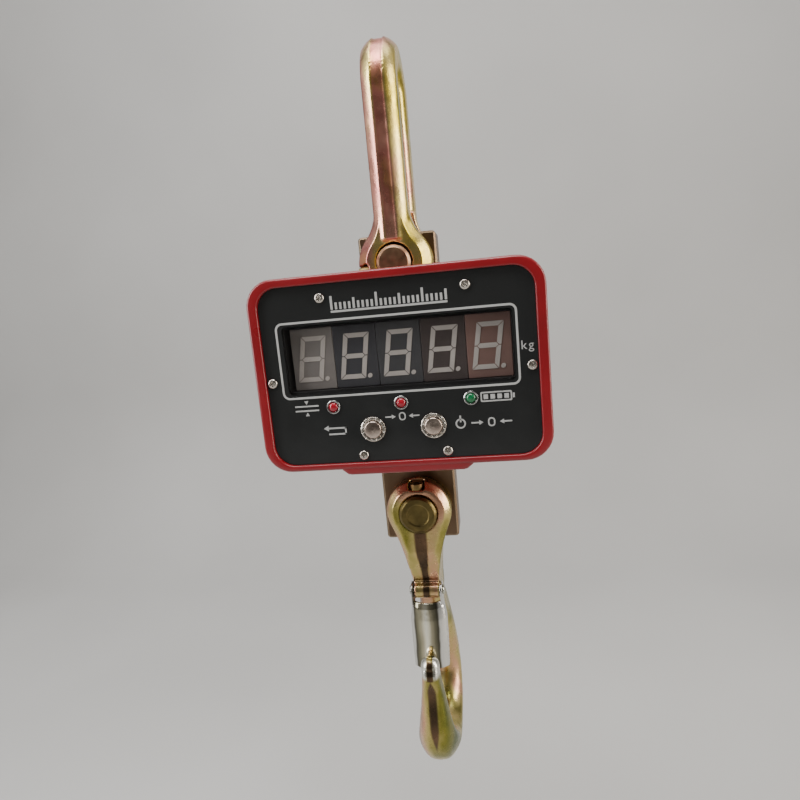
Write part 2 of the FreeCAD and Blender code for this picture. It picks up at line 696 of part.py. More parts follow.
def make_gauge_cover(side):
    face = GAUGE_AT + V(0, side * CELL_HALF_Y, 0)
    back = face - V(0, side * GAUGE_COVER_THICK, 0)
    cover = rod(GAUGE_POCKET_R + GAUGE_COVER_RIM - SEAT_FIT, back, face)
    if side < 0:
        cover = cover.cut(rod(LEAD_R, LEAD_AT - Y_AXIS, LEAD_AT + Y_AXIS * 2 * GAUGE_COVER_THICK))
    return cover


def make_gauges():
    """Four strain gauges bonded to the pocket floors, two a side."""
    gauges = []
    for side in (-1, 1):
        floor = side * (CELL_HALF_Y - GAUGE_POCKET_DEPTH)
        for step in (-1, 1):
            y = sorted((floor, floor + side * GAUGE_THICK))
            z = span(GAUGE_AT.z + step * GAUGE_STEP, GAUGE_HALF_Z)
            gauges.append(block(span(0, GAUGE_HALF_X), y, z))
    return gauges


save("load_cell_body", make_load_cell())
save("gauge_cover_front", make_gauge_cover(-1))
save("gauge_cover_rear", make_gauge_cover(1))
save("strain_gauges", *make_gauges())


# ---------------------------------------------------------------- hook
def hook_station(y, z, turn, thick, half_in, half_out):
    """One section of the hook: turn is the direction from inner to outer side, from +Y to -Z."""
    outwards = V(0, math.cos(math.radians(turn)), -math.sin(math.radians(turn)))
    middle = V(0, y, z)
    t = thick / 2
    ring = [(half_in * a + half_out * b, t * r) for a, b, r in HOOK_SECTION]
    ring += [(-x, r) for x, r in reversed(ring[1:-1])]
    curve = Part.BSplineCurve()
    curve.interpolate([middle + X_AXIS * x + outwards * r for x, r in ring], PeriodicFlag=True)
    return Part.Wire(curve.toShape())


def bowl_station(turn, thick, half_in, half_out, away):
    """A section on the round of the bowl, at an angle from the rear going down."""
    radius = BOWL_RADIUS + thick / 2 + away
    y = BOWL_AT.y + radius * math.cos(math.radians(turn))
    z = BOWL_AT.z - radius * math.sin(math.radians(turn))
    return hook_station(y, z, turn, thick, half_in, half_out)


def make_hook():
    # clevis and neck: the front outline and the side outline both bound it
    front = []
    for side in (-1, 1):
        front.append(
            ear(
                side, HOOK_EAR_OUT, HOOK_EAR_RADIUS, NECK_HALF, HOOK_EAR_BLEND,
                HOOK_EAR_BEVEL, NECK_LENGTH, LOW_PIN, -1,
            )
        )
    web = Part.Face(
        ear_outline(
            HOOK_EAR_RADIUS, NECK_HALF, HOOK_EAR_BLEND, NECK_LENGTH, LOW_PIN, -EAR_IN - OVERCUT, -1
        )
    ).extrude(V(0, 2 * (EAR_IN + OVERCUT), 0))
    slot = block(
        span(0, 2 * HOOK_EAR_RADIUS),
        span(0, EAR_IN),
        (LOW_PIN.z - CROTCH_DEPTH, LOW_PIN.z + 2 * HOOK_EAR_RADIUS),
    )
    clevis = joined(front + [web]).cut(slot)

    def side_place(y, z):
        return V(-2 * HOOK_EAR_RADIUS, y, LOW_PIN.z + z)

    out = HOOK_EAR_OUT
    side_outline = Part.Face(
        in_plane(
            [
                ((-out, 30), (out, 30)),
                ((out, 30), (out, -30)),
                ((out, -30), (out - 0.6, -50), (out - 3, -NECK_LENGTH)),
                ((out - 3, -NECK_LENGTH), (-2, -NECK_LENGTH)),
                ((-2, -NECK_LENGTH), (-NECK_FRONT, -LATCH_PIN_DROP - LATCH_LUG_R)),
                ((-NECK_FRONT, -LATCH_PIN_DROP - LATCH_LUG_R), (-NECK_FRONT, -58)),
                ((-NECK_FRONT, -58), (-22, -46), (-out, -30)),
                ((-out, -30), (-out, 30)),
            ],
            side_place,
        )
    ).extrude(V(4 * HOOK_EAR_RADIUS, 0, 0))
    clevis = clevis.common(side_outline)

    stations = [hook_station(y, LOW_PIN.z - drop, *shape) for y, drop, *shape in SPINE_STATIONS]
    stations += [bowl_station(*shape) for shape in BOWL_STATIONS]
    tip_z = BOWL_AT.z + TIP_RISE
    stations += [hook_station(-TIP_OUT, tip_z - drop, *shape) for drop, *shape in TIP_STATIONS]
    bowl = Part.makeLoft(stations, True, False)
    tip = Part.makeSphere(TIP_RADIUS, V(0, -TIP_OUT, tip_z))
    lug_half = V(NECK_HALF, 0, 0)
    lug = rod(LATCH_LUG_R, LATCH_PIN_AT - lug_half, LATCH_PIN_AT + lug_half)
    body = clevis.fuse(bowl).fuse(tip).fuse(lug)
    reach = V(0, HOOK_EAR_OUT + OVERCUT, 0)
    body = body.cut(rod(HOOK_PIN_R + RUN_FIT, LOW_PIN - reach, LOW_PIN + reach))
    body = body.cut(lock_notch(LOW_PIN, HOOK_LOCK_ANGLE, HOOK_EAR_OUT, HOOK_EAR_RADIUS))
    across = V(LATCH_EAR_HALF, 0, 0)
    body = body.cut(rod(LATCH_PIN_R + SEAT_FIT, LATCH_PIN_AT - across, LATCH_PIN_AT + across))
    pocket_end = LATCH_PIN_AT - V(NECK_HALF - SPRING_POCKET, 0, 0)
    return body.cut(rod(SPRING_POCKET_R, LATCH_PIN_AT - across, pocket_end))


save("hook", make_hook())
save(
    "hook_pin",
    train_pin(LOW_PIN, HOOK_PIN_R, HOOK_EAR_OUT + PIN_PROUD, HOOK_LOCK_ANGLE, HOOK_EAR_OUT),
)
save(
    "hook_lock_screw",
    lock_screw(LOW_PIN, HOOK_PIN_R, HOOK_LOCK_ANGLE, HOOK_EAR_OUT, LOCK_LOW_HEAD_H),
)


# ---------------------------------------------------------------- safety latch
def latch_ring(drop, width, front, back, inset):
    """A section of the latch across Z: round at the front, open at the back."""
    z = LATCH_PIN_AT.z - drop
    half = width / 2 - inset
    near = LATCH_PIN_Y + LATCH_LEAN * drop - front + inset
    far = LATCH_PIN_Y + LATCH_LEAN * drop + back
    shoulder = near + LATCH_BEND * half

    def place(x, y):
        return V(x, y, z)

    return in_plane(
        [
            ((-half, shoulder), (0, near), (half, shoulder)),
            ((half, shoulder), (half, far)),
            ((half, far), (-half, far)),
            ((-half, far), (-half, shoulder)),
        ],
        place,
    )


def make_latch():
    outer = [latch_ring(*s, 0) for s in LATCH_STATIONS]
    inner = [latch_ring(d, w, f, b + OVERCUT, LATCH_SHEET) for d, w, f, b in LATCH_STATIONS]
    shell = Part.makeLoft(outer, True, True).cut(Part.makeLoft(inner, True, True))
    ears = []
    for side in (-1, 1):
        inside = LATCH_PIN_AT + V(side * (LATCH_EAR_HALF - LATCH_SHEET), 0, 0)
        outside = LATCH_PIN_AT + V(side * LATCH_EAR_HALF, 0, 0)
        cheek = rod(LATCH_EAR_R, inside, outside)
        x = sorted((inside.x, outside.x))
        strap = block(
            x,
            (LATCH_PIN_Y - LATCH_EAR_R, LATCH_PIN_Y + LATCH_EAR_R - 2),
            (LATCH_PIN_AT.z - LATCH_WEB_START, LATCH_PIN_AT.z),
        )
        ears += [cheek, strap]
    body = joined([shell] + ears)
    across = V(LATCH_EAR_HALF + OVERCUT, 0, 0)
    return body.cut(rod(LATCH_PIN_R + RUN_FIT, LATCH_PIN_AT - across, LATCH_PIN_AT + across))


def make_latch_pin():
    """A riveted pin; its heads stand just outside the latch's ears."""
    half = LATCH_EAR_HALF + SEAT_FIT
    body = rod(LATCH_PIN_R, LATCH_PIN_AT - V(half, 0, 0), LATCH_PIN_AT + V(half, 0, 0))
    for side in (-1, 1):
        seat = LATCH_PIN_AT + V(side * half, 0, 0)
        body = body.fuse(rod(LATCH_PIN_HEAD_R, seat, seat + V(side * LATCH_PIN_HEAD_T, 0, 0)))
    return body


def make_latch_spring():
    """The spring's winding round the latch's pin, in its pocket at the left of the lug."""
    start = LATCH_PIN_AT - V(NECK_HALF - LATCH_SPRING_WIRE / 2 - SEAT_FIT, 0, 0)
    return coil(
        SPRING_R, LATCH_SPRING_WIRE / 2, SPRING_PITCH, LATCH_SPRING_TURNS, start, X_AXIS
    )


save("latch", make_latch())
save("latch_pin", make_latch_pin())
save("latch_spring", make_latch_spring())


# ---------------------------------------------------------------- housing
def case_section(y, inset=0.0):
    """The housing's section at a depth: width, height, corner, y and middle height."""
    if y < 0:
        share = (y - RIM_Y) / (0 - RIM_Y)
        shrink_x = SPLIT_SHRINK_X * share
        shrink_z = SPLIT_SHRINK_Z * share
    else:
        share = y / REAR_Y
        shrink_x = SPLIT_SHRINK_X + (REAR_SHRINK_X - SPLIT_SHRINK_X) * share
        shrink_z = SPLIT_SHRINK_Z + (REAR_SHRINK_Z - SPLIT_SHRINK_Z) * share
    width = CASE_WIDTH - shrink_x - 2 * inset
    height = CASE_HEIGHT - shrink_z - 2 * inset
    corner = max(CASE_CORNER - inset - shrink_z / 4, WALL)
    return width, height, corner, y, CASE_Z


def chin(y, inset=0.0):
    """The raised pad round the load cell's way out, under the housing."""
    low = CHIN_LOW + inset
    half = CHIN_HALF - inset
    top = CASE_Z

    def place(x, z):
        return V(x, y[0], z)

    outline = in_plane(
        [
            ((-half, top), (half, top)),
            ((half, top), (half, low + CHIN_SLOPE)),
            ((half, low + CHIN_SLOPE), (half - CHIN_SLOPE, low)),
            ((half - CHIN_SLOPE, low), (-half + CHIN_SLOPE, low)),
            ((-half + CHIN_SLOPE, low), (-half, low + CHIN_SLOPE)),
            ((-half, low + CHIN_SLOPE), (-half, top)),
        ],
        place,
    )
    return Part.Face(outline).extrude(V(0, y[1] - y[0], 0))


def well(grow, top):
    """The well in the housing's top that the shackle's ears swing in."""
    return block(
        span(0, WELL_HALF_X + grow), span(0, WELL_HALF_Y + grow), (WELL_FLOOR - grow, top)
    )


def cell_way():
    """The way of the load cell through the housing, with room for its collars."""
    return block(span(0, SLOT_HALF_X), span(0, SLOT_HALF_Y), (CHIN_LOW - OVERCUT, CASE_TOP))


def boss(x, z, radius, y):
    """A round boss along Y."""
    return rod(radius, V(x, y[0], z), V(x, y[1], z))


def make_front_shell():
    end = -SPLIT_HALF
    body = drafted(
        [
            case_section(RIM_Y, RIM_ROUND * RIM_FLAT_SHARE),
            case_section(RIM_Y + RIM_ROUND * RIM_TURN_SHARE, RIM_ROUND * RIM_SIDE_SHARE),
            case_section(RIM_Y + RIM_ROUND),
            case_section(end),
        ]
    )
    body = body.fuse(chin((RIM_Y + RIM_ROUND * RIM_TURN_SHARE, end)))
    pocket = plate(
        PANEL_WIDTH + 2 * SEAT_FIT, PANEL_HEIGHT + 2 * SEAT_FIT, PANEL_CORNER,
        (RIM_Y - OVERCUT, LEDGE_Y), PANEL_Z,
    )
    body = body.cut(pocket)
    floor = LEDGE_Y + LEDGE_DEPTH
    cavity = drafted([case_section(floor, WALL), case_section(end, WALL)])
    behind = plate(
        PANEL_WIDTH - 2 * LEDGE_WIDTH, PANEL_HEIGHT - 2 * LEDGE_WIDTH, PANEL_CORNER - LEDGE_WIDTH,
        (LEDGE_Y - OVERCUT, floor + OVERCUT), PANEL_Z,
    )
    solid_well = well(WALL, CASE_TOP).common(drafted([case_section(RIM_Y), case_section(end)]))
    inside_chin = chin((floor, end + OVERCUT), WALL).cut(block(
        span(0, CHIN_HALF), span(0, -RIM_Y), (CASE_Z - CASE_HEIGHT / 4, CASE_TOP)))
    body = body.cut(behind).cut(cavity).cut(inside_chin)
    pads = [solid_well.cut(pocket)]
    for x, z in SHELL_BOSSES:
        start = end - SHELL_BOSS_REACH
        pads.append(boss(x, z, SHELL_BOSS_R, (start, end)))
        outer = math.copysign(CASE_WIDTH, x)
        pads.append(block(sorted((x, outer)), (start, end), span(z, RIB_THICK / 2)))
    for side in (-1, 1):
        start = BRACKET_Y - BRACKET_THICK - SHELL_BOSS_REACH
        stop = BRACKET_Y - BRACKET_THICK
        x = side * BRACKET_BOSS_X
        pads.append(boss(x, BRACKET_Z, BRACKET_BOSS_R, (start, stop)))
        pads.append(
            block(sorted((x, side * CASE_WIDTH)), (start, stop), span(BRACKET_Z, RIB_THICK / 2))
        )
    for x, z in PANEL_HOLES:
        pads.append(boss(x, z, PANEL_BOSS_R, (LEDGE_Y, LEDGE_Y + PANEL_BOSS_REACH)))
    inside = drafted([case_section(RIM_Y, OVERCUT), case_section(end, OVERCUT)])
    for pad in pads:
        body = body.fuse(pad.common(inside))
    body = body.cut(well(0, CASE_TOP + OVERCUT)).cut(cell_way())
    for x, z in PANEL_HOLES:
        body = body.cut(boss(x, z, PANEL_SCREW_R, (RIM_Y, LEDGE_Y + PANEL_BOSS_REACH)))
    for x, z in SHELL_BOSSES:
        body = body.cut(boss(x, z, SHELL_SCREW_R, (end - SHELL_BOSS_REACH / 2, end)))
    for side in (-1, 1):
        stop = BRACKET_Y - BRACKET_THICK
        body = body.cut(
            boss(side * BRACKET_BOSS_X, BRACKET_Z, SHELL_SCREW_R, (stop - SHELL_BOSS_REACH / 2, stop))
        )
    return body.removeSplitter()


def make_rear_shell():
    start = SPLIT_HALF
    outline = drafted([case_section(start), case_section(REAR_Y)])
    back_rim = [e for e in outline.Edges if abs(e.BoundBox.YMin - REAR_Y) < 0.01]
    body = outline.makeFillet(RIM_ROUND, back_rim)
    body = body.fuse(chin((start, CHIN_BACK)))
    body = body.cut(drafted([case_section(start, WALL), case_section(REAR_Y - WALL, WALL)]))
    body = body.cut(chin((start - OVERCUT, CHIN_BACK - WALL), WALL).cut(block(
        span(0, CHIN_HALF), span(0, REAR_Y), (CASE_Z - CASE_HEIGHT / 4, CASE_TOP))))
    pads = [well(WALL, CASE_TOP).common(outline)]
    for x, z in SHELL_BOSSES:
        pads.append(boss(x, z, SHELL_BOSS_R, (start, REAR_Y - OVERCUT)).common(outline))
    for x, z in COVER_HOLES:
        pads.append(
            boss(x, z, COVER_SCREW_HEAD_R, (REAR_Y - COVER_SCREW_LENGTH - OVERCUT, REAR_Y - OVERCUT))
        )
    socket_pad = block(
        span(SOCKET_X, SOCKET_FLANGE_R + 2), span(SOCKET_Y, SOCKET_FLANGE_R + 2),
        (SOCKET_FACE, SOCKET_FACE + WALL),
    )
    pads.append(socket_pad.common(outline))
    body = joined([body] + pads)
    below = block(
        span(SOCKET_X, SOCKET_FLANGE_R + 2), span(SOCKET_Y, SOCKET_FLANGE_R + 2),
        (CASE_LOW - OVERCUT, SOCKET_FACE),
    )
    body = body.cut(below)
    hole = SOCKET_AT + V(0, 0, SOCKET_FACE - OVERCUT)
    body = body.cut(rod(SOCKET_R + SEAT_FIT, hole, hole + V(0, 0, WALL + 2 * OVERCUT)))
    body = body.cut(well(0, CASE_TOP + OVERCUT)).cut(cell_way())
    opening = block(
        span(0, BATTERY_X / 2 + TRAY_THICK + SEAT_FIT),
        (REAR_Y - WALL - OVERCUT, REAR_Y + OVERCUT),
        span(BATTERY_MID, BATTERY_Z / 2 + TRAY_THICK + SEAT_FIT),
    )
    body = body.cut(opening)
    for x, z in SHELL_BOSSES:
        body = body.cut(boss(x, z, SHELL_SCREW_R + SCREW_FIT, (start - OVERCUT, REAR_Y)))
        body = body.cut(
            boss(x, z, SHELL_SCREW_HEAD_R + SCREW_FIT, (SHELL_SEAT_Y, REAR_Y + OVERCUT))
        )
    for x, z in COVER_HOLES:
        body = body.cut(
            boss(x, z, COVER_SCREW_R, (REAR_Y - COVER_SCREW_LENGTH - OVERCUT, REAR_Y + OVERCUT))
        )
    return body.removeSplitter()


def make_shell_gasket():
    outer = Part.Face(rounded_rectangle(*case_section(SPLIT_HALF)))
    inner = Part.Face(rounded_rectangle(*case_section(SPLIT_HALF, WALL)))
    ring = outer.cut(inner).extrude(V(0, 2 * SPLIT_HALF, 0))
    ring.translate(V(0, -2 * SPLIT_HALF, 0))
    return ring.cut(well(WALL, CASE_TOP + OVERCUT)).cut(
        block(span(0, CHIN_HALF), span(0, OVERCUT), (CHIN_LOW, CASE_Z - CASE_HEIGHT / 4))
    )


def make_collar(face, outwards):
    """A rubber collar round the load cell where it leaves the housing."""
    low, high = sorted((face, face - outwards * WALL))
    plug = block(
        span(0, SLOT_HALF_X - SEAT_FIT), span(0, SLOT_HALF_Y - SEAT_FIT), (low, high)
    )
    low, high = sorted((face, face + outwards * SEAL_THICK))
    lip = block(
        span(0, SLOT_HALF_X + SEAL_FLANGE - SEAT_FIT), span(0, SLOT_HALF_Y + SEAL_FLANGE_Y),
        (low, high),
    )
    hole = block(span(0, CELL_HALF_X), span(0, CELL_HALF_Y), (CELL_LOW, CELL_TOP))
    return plug.fuse(lip).cut(hole).removeSplitter()


def make_shell_screws():
    length = SHELL_SEAT_Y - SPLIT_HALF + SHELL_BOSS_REACH / 2 - OVERCUT
    screws = []
    for x, z in SHELL_BOSSES:
        at = V(x, SHELL_SEAT_Y, z)
        body = screw(at, Y_AXIS * -1, SHELL_SCREW_R, length, SHELL_SCREW_HEAD_R, SHELL_SCREW_HEAD_H)
        top = at + V(0, SHELL_SCREW_HEAD_H, 0)
        screws.append(body.cut(cross_recess(top, Y_AXIS * -1, *SHELL_DRIVE)))
    return screws


save("front_shell", make_front_shell())
save("rear_shell", make_rear_shell())
save("shell_gasket", make_shell_gasket())
save("shell_screws", *make_shell_screws())
save("top_collar", make_collar(WELL_FLOOR, 1))
save("bottom_collar", make_collar(CHIN_LOW, -1))


# ---------------------------------------------------------------- brackets on the load cell
def make_bracket(side):
    """An angle plate: one leg on the load cell's flank, the other behind a shell boss."""
    near = side * CELL_HALF_X
    out = side * (CELL_HALF_X + BRACKET_THICK)
    far = side * (CELL_HALF_X + BRACKET_REACH)
    z = span(BRACKET_Z, BRACKET_HEIGHT / 2)
    front = BRACKET_Y - BRACKET_THICK
    leg = block(sorted((near, out)), (front, CELL_HALF_Y - CELL_CORNER), z)
    arm = block(sorted((near, far)), (front, BRACKET_Y), span(BRACKET_Z, BRACKET_SCREW_HEAD_R * 1.5))
    body = leg.fuse(arm).removeSplitter()
    for step in (-1, 1):
        hole = V(near, BRACKET_HOLE_Y, BRACKET_Z + step * BRACKET_HOLE_STEP / 2)
        reach = V(side * BRACKET_THICK * 2, 0, 0)
        body = body.cut(rod(BRACKET_SCREW_R + SCREW_FIT, hole - reach, hole + reach))
    x = side * BRACKET_BOSS_X
    return body.cut(boss(x, BRACKET_Z, SHELL_SCREW_R + SCREW_FIT, (front - OVERCUT, OVERCUT)))


def make_bracket_screws():
    screws = []
    for side in (-1, 1):
        for step in (-1, 1):
            seat = V(
                side * (CELL_HALF_X + BRACKET_THICK), BRACKET_HOLE_Y,
                BRACKET_Z + step * BRACKET_HOLE_STEP / 2,
            )
            screws.append(
                screw(
                    seat, V(-side, 0, 0), BRACKET_SCREW_R, BRACKET_SCREW_LENGTH,
                    BRACKET_SCREW_HEAD_R, BRACKET_SCREW_HEAD_H, *BRACKET_DRIVE,
                )
            )
    return screws


def make_bracket_boss_screws():
    length = BRACKET_THICK + SHELL_BOSS_REACH / 2 - OVERCUT
    screws = []
    for side in (-1, 1):
        seat = V(side * BRACKET_BOSS_X, BRACKET_Y, BRACKET_Z)
        body = screw(seat, Y_AXIS * -1, SHELL_SCREW_R, length, SHELL_SCREW_HEAD_R, SHELL_SCREW_HEAD_H)
        top = seat + Y_AXIS * SHELL_SCREW_HEAD_H
        screws.append(body.cut(cross_recess(top, Y_AXIS * -1, *SHELL_DRIVE)))
    return screws


save("bracket_left", make_bracket(-1))
save("bracket_right", make_bracket(1))
save("bracket_screws", *make_bracket_screws())
save("bracket_shell_screws", *make_bracket_boss_screws())

# ---------------------------------------------------------------- front panel and display


def make_front_panel():
    y = (PANEL_FRONT, PANEL_BACK)
    body = plate(PANEL_WIDTH, PANEL_HEIGHT, PANEL_CORNER, y, PANEL_Z)
    through = (PANEL_FRONT - OVERCUT, PANEL_BACK + OVERCUT)
    body = body.cut(plate(WINDOW_WIDTH, WINDOW_HEIGHT, WINDOW_CORNER, through, DISPLAY_Z))
    for x, z in PANEL_HOLES:
        body = body.cut(boss(x, z, SEAT_FLOOR_R, through))
    for x in LEDS.values():
        body = body.cut(boss(x, LED_Z, LED_R + SEAT_FIT, through))
    for x in BUTTONS.values():
        body = body.cut(boss(x, BUTTON_Z, BUTTON_BARREL_R + SEAT_FIT, through))
    return body


def make_panel_gasket():
    y = (PANEL_BACK, LEDGE_Y)
    ring = plate(PANEL_WIDTH, PANEL_HEIGHT, PANEL_CORNER, y, PANEL_Z)
    hole = plate(
        PANEL_WIDTH - 2 * LEDGE_WIDTH, PANEL_HEIGHT - 2 * LEDGE_WIDTH, PANEL_CORNER - LEDGE_WIDTH,
        (y[0] - OVERCUT, y[1] + OVERCUT), PANEL_Z,
    )
    ring = ring.cut(hole)
    for x, z in PANEL_HOLES:
        ring = ring.fuse(boss(x, z, PANEL_BOSS_R, y).common(block(
            span(0, PANEL_WIDTH / 2), y, span(PANEL_Z, PANEL_HEIGHT / 2))))
    for x, z in PANEL_HOLES:
        ring = ring.cut(boss(x, z, SEAT_FLOOR_R, (y[0] - OVERCUT, y[1] + OVERCUT)))
    return ring


def make_panel_screws():
    screws = []
    for x, z in PANEL_HOLES:
        seat = V(x, PANEL_FRONT, z)
        body = screw(
            seat, Y_AXIS, PANEL_SCREW_R, PANEL_SCREW_LENGTH, PANEL_SCREW_HEAD_R, PANEL_SCREW_HEAD_H
        )
        top = seat - Y_AXIS * PANEL_SCREW_HEAD_H
        rim = [e for e in body.Edges if abs(e.BoundBox.YMax - top.y) < 0.01]
        body = body.makeFillet(PANEL_SCREW_DOME, rim)
        screws.append(body.cut(cross_recess(top, Y_AXIS, *PANEL_DRIVE)))
    return screws


def make_display_window():
    return plate(
        WINDOW_WIDTH - 2 * SEAT_FIT, WINDOW_HEIGHT - 2 * SEAT_FIT, WINDOW_CORNER,
        (PANEL_FRONT, PANEL_BACK), DISPLAY_Z,
    )


def make_display_shroud():
    """The dark frame behind the panel that carries the window and surrounds the digits."""
    inner_width = DIGIT_COUNT * DIGIT_PITCH + 2 * DIGIT_SHIFT + 2 * SEAT_FIT
    inner_height = DIGIT_HEIGHT + 2 * SEAT_FIT + DIGIT_GAP
    y = (PANEL_BACK, BOARD_Y)
    outer = block(
        span(0, WINDOW_WIDTH / 2 + SHROUD_WALL / 2), y,
        span(DISPLAY_Z, WINDOW_HEIGHT / 2 + SHROUD_WALL / 2),
    )
    inner = block(
        span(0, inner_width / 2), (y[0] - OVERCUT, y[1] + OVERCUT), span(DISPLAY_Z, inner_height / 2)
    )
    return outer.cut(inner)


def make_digit(index):
    x = DIGIT_SHIFT + (index - (DIGIT_COUNT - 1) / 2) * DIGIT_PITCH
    return block(
        span(x, (DIGIT_PITCH - DIGIT_GAP) / 2), (DIGIT_FACE, BOARD_Y),
        span(DISPLAY_Z, DIGIT_HEIGHT / 2),
    )


def stud_places():
    return [(sx * STUD_X, DISPLAY_Z + z) for sx in (-1, 1) for z in (STUD_TOP, -STUD_LOW)]


def make_display_board():
    y = (BOARD_Y, BOARD_Y + BOARD_THICK)
    body = block(span(0, BOARD_HALF_X), y, (DISPLAY_Z - BOARD_LOW, DISPLAY_Z + BOARD_TOP))
    for x, z in stud_places():
        body = body.cut(boss(x, z, PANEL_SCREW_R + SCREW_FIT, (y[0] - OVERCUT, y[1] + OVERCUT)))
    return body


def make_board_studs():
    """Four studs on the panel's back; the board sits on their shoulders."""
    studs = []
    for x, z in stud_places():
        shoulder = boss(x, z, STUD_R, (PANEL_BACK, BOARD_Y))
        pin = boss(x, z, PANEL_SCREW_R, (BOARD_Y, BOARD_Y + BOARD_THICK + STUD_END))
        studs.append(shoulder.fuse(pin))
    return studs


def make_board_nuts():
    nuts = []
    for x, z in stud_places():
        start = V(x, BOARD_Y + BOARD_THICK, z)
        nut = hexagon(STUD_NUT_AF, start, start + Y_AXIS * STUD_NUT_T)
        nuts.append(nut.cut(boss(x, z, PANEL_SCREW_R, (start.y - OVERCUT, start.y + 2 * BOARD_THICK + 2))))
    return nuts


def make_main_board():
    y = (MAIN_BOARD_Y, MAIN_BOARD_Y + BOARD_THICK)
    body = block(span(0, MAIN_BOARD_X), y, span(MAIN_Z, MAIN_BOARD_Z))
    for x, z, wide, tall, thick in CHIPS:
        body = body.fuse(
            block(span(x, wide / 2), (y[0] - thick, y[0]), span(MAIN_Z + z, tall / 2))
        )
    for x, z in SPACER_PLACES:
        body = body.cut(boss(x, z, PANEL_SCREW_R + SCREW_FIT, (y[0] - OVERCUT, y[1] + OVERCUT)))
    return body.removeSplitter()


def make_board_spacers():
    spacers = []
    for x, z in SPACER_PLACES:
        body = boss(x, z, STUD_R, (BOARD_Y + BOARD_THICK, MAIN_BOARD_Y))
        pin = boss(x, z, PANEL_SCREW_R, (MAIN_BOARD_Y, MAIN_BOARD_Y + BOARD_THICK + SPACER_END))
        spacers.append(body.fuse(pin))
    return spacers


def make_led(x):
    """A round indicator lamp: domed lens, body, and the stand that reaches the board."""
    lens = Part.makeSphere(LED_R, V(x, PANEL_FRONT, LED_Z))
    lens = lens.common(block(span(x, LED_R), (PANEL_FRONT - LED_R, PANEL_FRONT), span(LED_Z, LED_R)))
    body = boss(x, LED_Z, LED_R, (PANEL_FRONT, PANEL_BACK + LED_BODY))
    stand = boss(x, LED_Z, LED_STAND_R, (PANEL_BACK + LED_BODY, BOARD_Y))
    return joined([lens, body, stand])


def make_led_bezels():
    rings = []
    for x in LEDS.values():
        outer = boss(x, LED_Z, LED_BEZEL_R, (PANEL_FRONT - LED_BEZEL_T, PANEL_FRONT))
        inner = boss(x, LED_Z, LED_R + SEAT_FIT, (PANEL_FRONT - 2 * LED_BEZEL_T, PANEL_FRONT + OVERCUT))
        rings.append(outer.cut(inner))
    return rings


save("front_panel", make_front_panel())
save("panel_gasket", make_panel_gasket())
save("panel_screws", *make_panel_screws())
save("display_window", make_display_window())
save("display_shroud", make_display_shroud())
for number in range(DIGIT_COUNT):
    save(f"digit_module_{number + 1}", make_digit(number))
save("display_board", make_display_board())
save("board_studs", *make_board_studs())
save("board_nuts", *make_board_nuts())
save("main_board", make_main_board())
save("board_spacers", *make_board_spacers())
for led_name, led_x in LEDS.items():
    save(led_name, make_led(led_x))
save("led_bezels", *make_led_bezels())

# ---------------------------------------------------------------- push buttons


def make_button_body(x):
    bezel = boss(x, BUTTON_Z, BUTTON_BEZEL_R, (BUTTON_FACE, PANEL_FRONT))
    rim = [e for e in bezel.Edges if abs(e.BoundBox.YMax - BUTTON_FACE) < 0.01]
    bezel = bezel.makeChamfer(BUTTON_BEZEL_BEVEL, rim)
    barrel = boss(x, BUTTON_Z, BUTTON_BARREL_R, (PANEL_FRONT, BUTTON_BACK))
    body = bezel.fuse(barrel)
    body = body.cut(boss(x, BUTTON_Z, BUTTON_CAP_R + RUN_FIT, (BUTTON_FACE - OVERCUT, SPRING_SEAT)))
    stem_way = BUTTON_STEM_R + RUN_FIT
    return body.cut(boss(x, BUTTON_Z, stem_way, (SPRING_SEAT - OVERCUT, BUTTON_BACK + OVERCUT)))


def make_button_cap(x):
    cap = boss(x, BUTTON_Z, BUTTON_CAP_R, (CAP_FACE, CAP_BACK))
    radius = (BUTTON_CAP_R**2 + BUTTON_DOME**2) / (2 * BUTTON_DOME)
    dome = Part.makeSphere(radius, V(x, CAP_FACE - BUTTON_DOME + radius, BUTTON_Z))
    dome = dome.common(boss(x, BUTTON_Z, BUTTON_CAP_R, (CAP_FACE - BUTTON_DOME, CAP_FACE)))
    stem = boss(x, BUTTON_Z, BUTTON_STEM_R, (CAP_BACK, BUTTON_BACK - BUTTON_TRAVEL))
    return joined([cap, dome, stem])


def make_button_spring(x):
    pitch = (SPRING_SEAT - CAP_BACK - BUTTON_SPRING_WIRE - BUTTON_TRAVEL - SEAT_FIT) / BUTTON_SPRING_TURNS
    base = V(x, SPRING_SEAT - BUTTON_SPRING_WIRE / 2, BUTTON_Z)
    return coil(BUTTON_SPRING_R, BUTTON_SPRING_WIRE / 2, pitch, BUTTON_SPRING_TURNS, base, Y_AXIS * -1)


def make_button_nut(x):
    start = V(x, PANEL_BACK, BUTTON_Z)
    nut = hexagon(BUTTON_NUT_AF, start, start + Y_AXIS * BUTTON_NUT_T)
    way = (PANEL_BACK - OVERCUT, PANEL_BACK + BUTTON_NUT_T + OVERCUT)
    return nut.cut(boss(x, BUTTON_Z, BUTTON_BARREL_R, way))


for which, button_x in BUTTONS.items():
    save(f"button_body_{which}", make_button_body(button_x))
    save(f"button_cap_{which}", make_button_cap(button_x))
    save(f"button_spring_{which}", make_button_spring(button_x))
save("button_nuts", *[make_button_nut(x) for x in BUTTONS.values()])

# ---------------------------------------------------------------- battery, cover and socket


def make_battery():
    height = (BATTERY_TOP - BATTERY_Z, BATTERY_TOP)
    body = block(span(0, BATTERY_X / 2), (BATTERY_FRONT, BATTERY_BACK), height)
    upright = [e for e in body.Edges if abs(e.tangentAt(0).z) > 0.9]
    return body.makeFillet(2.0, upright)


